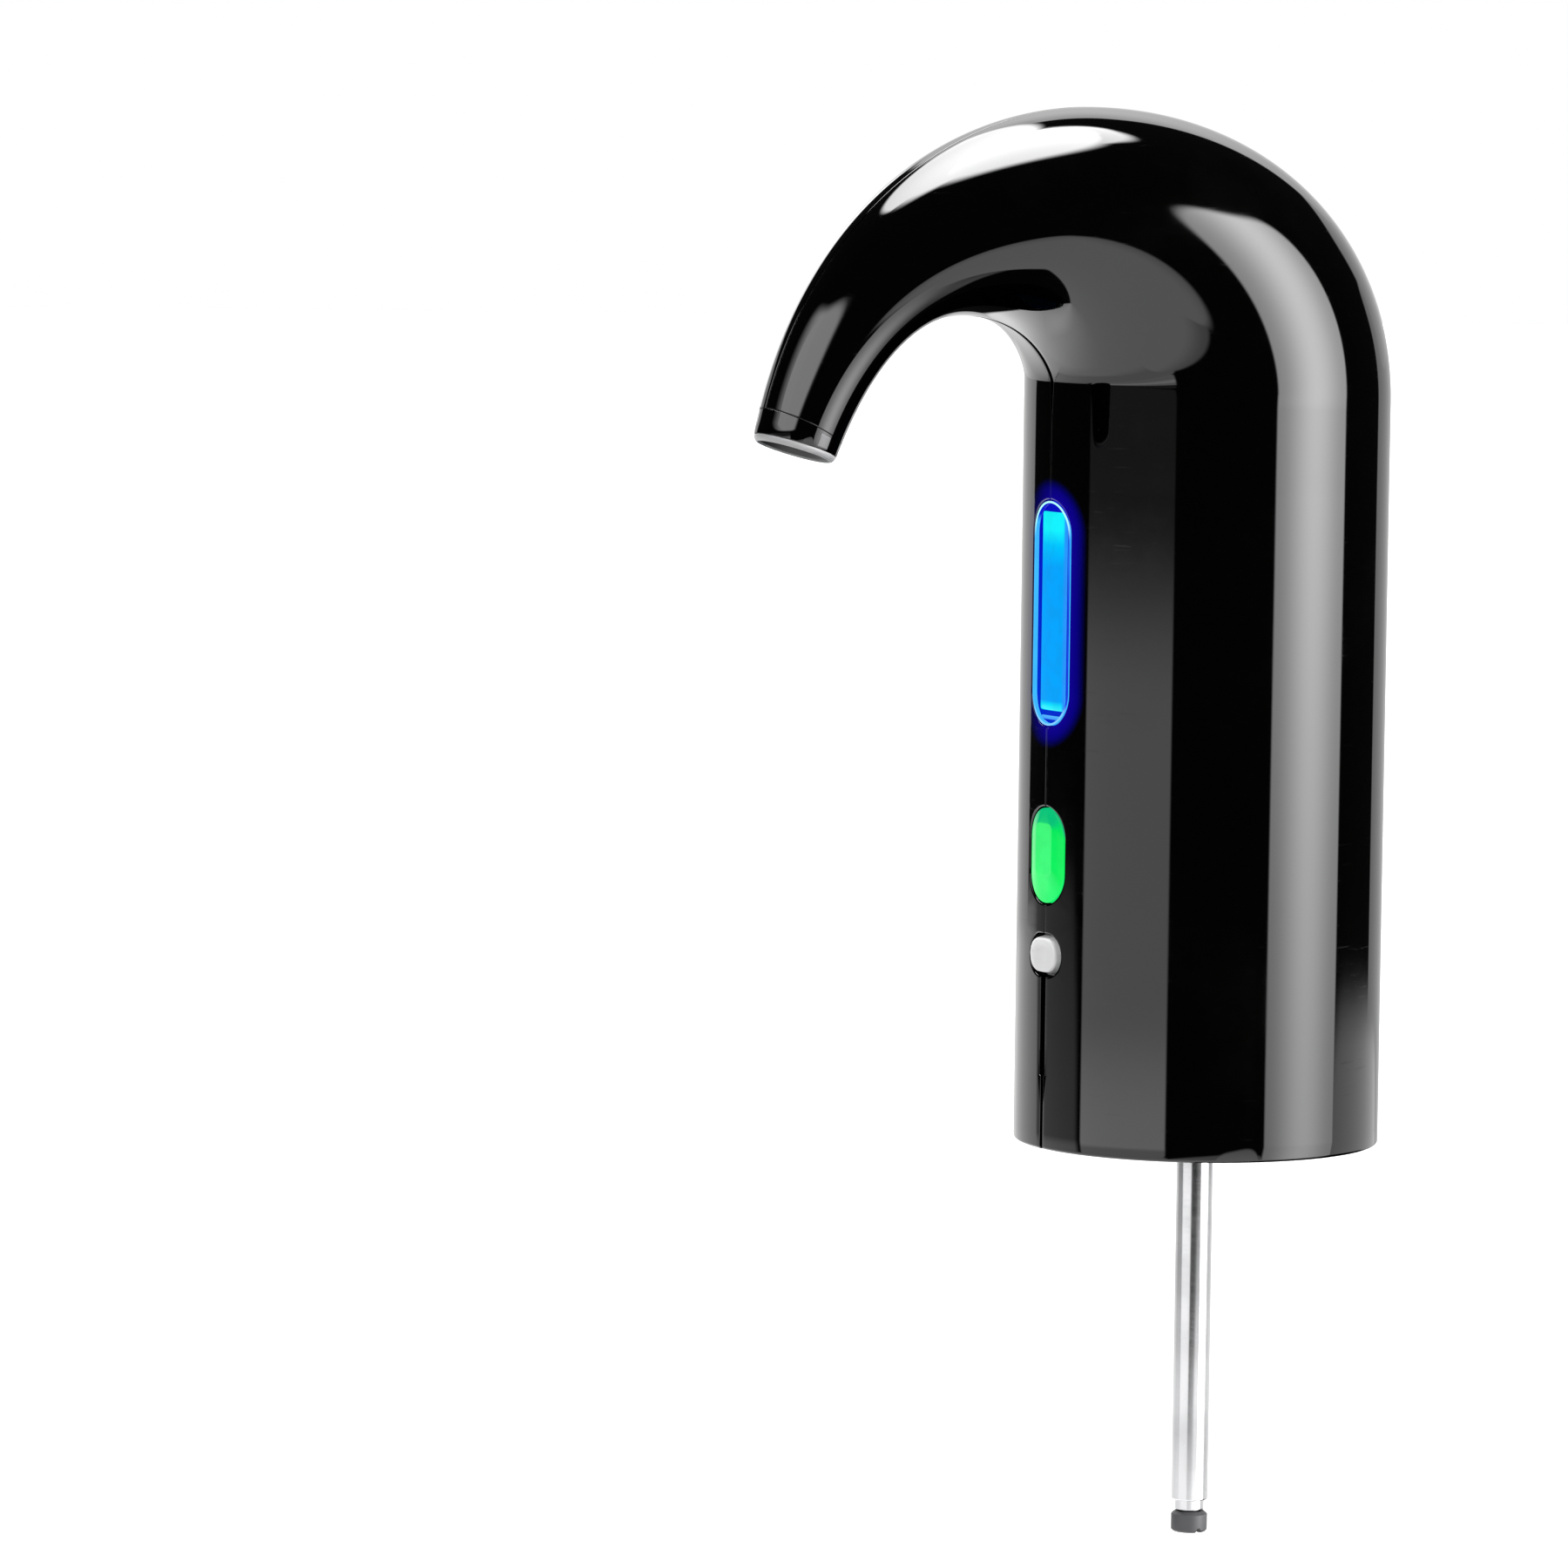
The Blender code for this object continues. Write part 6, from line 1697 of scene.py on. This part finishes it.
@dataclass
class Studio:
    """The camera, the floor and the soft panels round the object."""

    target: Point = (0.0, 0.0, 0.072)
    azimuth: float = 56.961
    elevation: float = 4.053
    roll: float = 0.673
    yaw: float = 2.870
    pitch: float = 1.162
    distance: float = 1.600
    lens: float = 9585.6 / 1800 * 36
    floor_level: float = -0.29
    ambient: float = 0.012
    backdrop: Colour = (1.0, 1.0, 1.0)
    overhead: Dome = Dome(245.0, 74.0, 17.5, 16.0, 3.0)
    panels: tuple[Panel, ...] = (
        Panel((101.2, 153.8), (-52, 38.2), 12.2, 4.0, 0.035, ((-9, -1, 0.54), (-46, -14, 0.15)), 0.55, 0.12),
        Panel((-20.8, 38.0), (-16.3, 2.5), 1.62, 10.0, 0.03, ((-3.3, -4.7, 0.11),)),
        Panel((-20.8, 38.0), (-16.3, 0.0), 2.62, 10.0, 0.03, ((-5.8, -7.6, 0.0), (-12, -9, 0.62))),
        Panel((-60.0, 40.0), (-32, -14.5), 1.45, 8.0, 0.03),
        Panel((-100, -24), (-16.5, -5.8), 1.2, 8.0, 0.06, ((-5.5, -12, 0.3),)),
        Panel((-112, -63), (-17, -6.0), 1.25, 8.0, 0.06),
        Panel((-8.7, 43.0), (6, 40.8), 4.4, 2.8, 0.12, lean=-0.75),
        Panel((-30, 49), (6, 40.8), 4.5, 2.8, 0.10, dim_sides=1.0, lean=-0.75),
        Panel((-120, 108), (-128, -26.7), 2.0, 10.0, 0.025, ((-18, -32, 0.5),), rise=0.135),
        Panel((16, 110), (-128, -14.2), 2.0, 5.0, 0.014, ((-13.5, -24, 0.5),), rise=0.1),
        Panel((64, 101), (-128, -10.2), 2.0, 4.0, 0.02, ((-8, -17, 0.7),), rise=0.22),
        Panel((-123, -60), (-128, -13.0), 2.4, 10.0, 0.03, ((-13, -32, 0.5),)),
        Panel((-122.5, -8), (-128, -29.0), 2.55, 10.0, 0.02, ((-29, -40, 0.75),), 0.22),
        Panel((-122.5, -50), (-128, -50), 3.3, 6.0, 0.03, ((-50, -72, 0.74),), 0.25),
        Panel((193.5, 240), (-22, 13), 0.78, 8.0, 0.03),
        Panel((238, 279.5), (-22, 13), 1.0, 8.0, 0.03, lean=0.5),
        Panel((199, 250), (0, 20.5), 0.88, 6.0, 0.06),
        Panel((247, 267.5), (1, 14.5), 2.4, 4.0, 0.15),
        Panel((150, 216), (-17, -6.7), 1.3, 8.0, 0.06),
        Panel((214.5, 255), (10, 40.5), 1.75, 2.6, 0.05, ((12, 32, 0.55),), lean=0.4),
        Panel((189.5, 309.5), (53, 95), 10.6, 2.6, 0.05),
        Panel((203, 309.5), (53, 95), 16.0, 2.6, 0.12, ((30, 76, 0.3),)),
        Panel((241.5, 299.5), (29, 83), 16.0, 1.15, 0.06, ((30, 76, 0.3),), lean=0.75),
    )

    @staticmethod
    def _axes(azimuth: float, elevation: float) -> tuple[Vector, Vector, Vector]:
        """The camera's back, right and up directions at an azimuth and an elevation."""
        back, right = Vector(direction(azimuth, elevation)), Vector(direction(azimuth + 90, 0))
        return back, right, back.cross(right)

    def camera(self) -> None:
        """The camera at the photograph's angle."""
        eye = Vector(self.target) + self._axes(self.azimuth, self.elevation)[0] * self.distance
        back, right, up = self._axes(self.azimuth + self.yaw, self.elevation + self.pitch)
        turn = radians(self.roll)
        across = right * cos(turn) + up * sin(turn)
        above = up * cos(turn) - right * sin(turn)
        data = bpy.data.cameras.new("camera")
        data.lens, data.sensor_width = self.lens, 36
        data.clip_start, data.clip_end = 0.05, 60
        made = placed("camera", data)
        rows = [(*[axis[i] for axis in (across, above, back)], eye[i]) for i in range(3)]
        made.matrix_world = Matrix([*rows, (0, 0, 0, 1)])
        bpy.context.scene.camera = made

    def floor(self) -> None:
        """A pale floor below the drawn-out tube, a polar grid of points, clear from beneath."""
        radius, turn = np.linspace(0, 12, 9)[:, None], np.arange(64) * 2 * pi / 64
        grid = Place((0.0, 0.0, self.floor_level)).points(radius, 0 * radius, turn)
        mesh = Skin().sheet(grid, around=True).mesh("studio_floor")
        if mesh.polygons[0].normal.z < 0:
            mesh.flip_normals()
        mesh.materials.append(PaleFloor(self.backdrop).material("studio_floor"))
        made = placed("studio_floor", mesh)
        made.visible_glossy = False

    def light(self) -> None:
        """A world of soft panels, which the camera itself sees as one pale backdrop.

        The panels light a first surface only, so that the gloss doesn't mirror them twice.
        """
        world = bpy.data.worlds.new("studio")
        bpy.context.scene.world = world
        world.use_nodes = True
        world.node_tree.nodes.clear()
        bench = Bench(world.node_tree)
        way = bench.node("TexCoord").outputs["Generated"]
        x, y, z = bench.parts(way)
        azimuth = bench.times(bench.math("ARCTAN2", x, bench.times(y, -1.0)), 180 / pi)
        height = bench.times(bench.math("ARCSINE", z), 180 / pi)
        total = bench.math("MAXIMUM", self.overhead.share(bench, way), self.ambient)
        for panel in self.panels:
            total = bench.math("MAXIMUM", panel.share(bench, azimuth, height), total)
        path = bench.node("LightPath").outputs
        total = bench.times(total, bench.math("LESS_THAN", path["Ray Depth"], 2.5))
        studio = bench.node("Background", {"Color": (1, 1, 1), "Strength": total}).outputs[0]
        pale = bench.node("Background", {"Color": self.backdrop, "Strength": 1.0}).outputs[0]
        mixed = bench.node("MixShader", {0: path["Is Camera Ray"], 1: studio, 2: pale})
        bench.node("OutputWorld", {"Surface": mixed.outputs[0]})

    def build(self) -> None:
        """Sets up the whole studio."""
        bpy.context.scene.view_settings.view_transform = "Standard"
        self.camera()
        self.floor()
        self.light()


def main() -> None:
    """Builds the studio and then the aerator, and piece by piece."""
    logging.basicConfig(level=logging.INFO, format="%(message)s")
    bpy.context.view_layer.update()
    casing = Casing()
    for part in (Studio(), Groups(), casing, Controls(), Base(), DipTube(), SpoutTip(casing), Inside()):
        part.build()


if __name__ == "__main__":
    main()
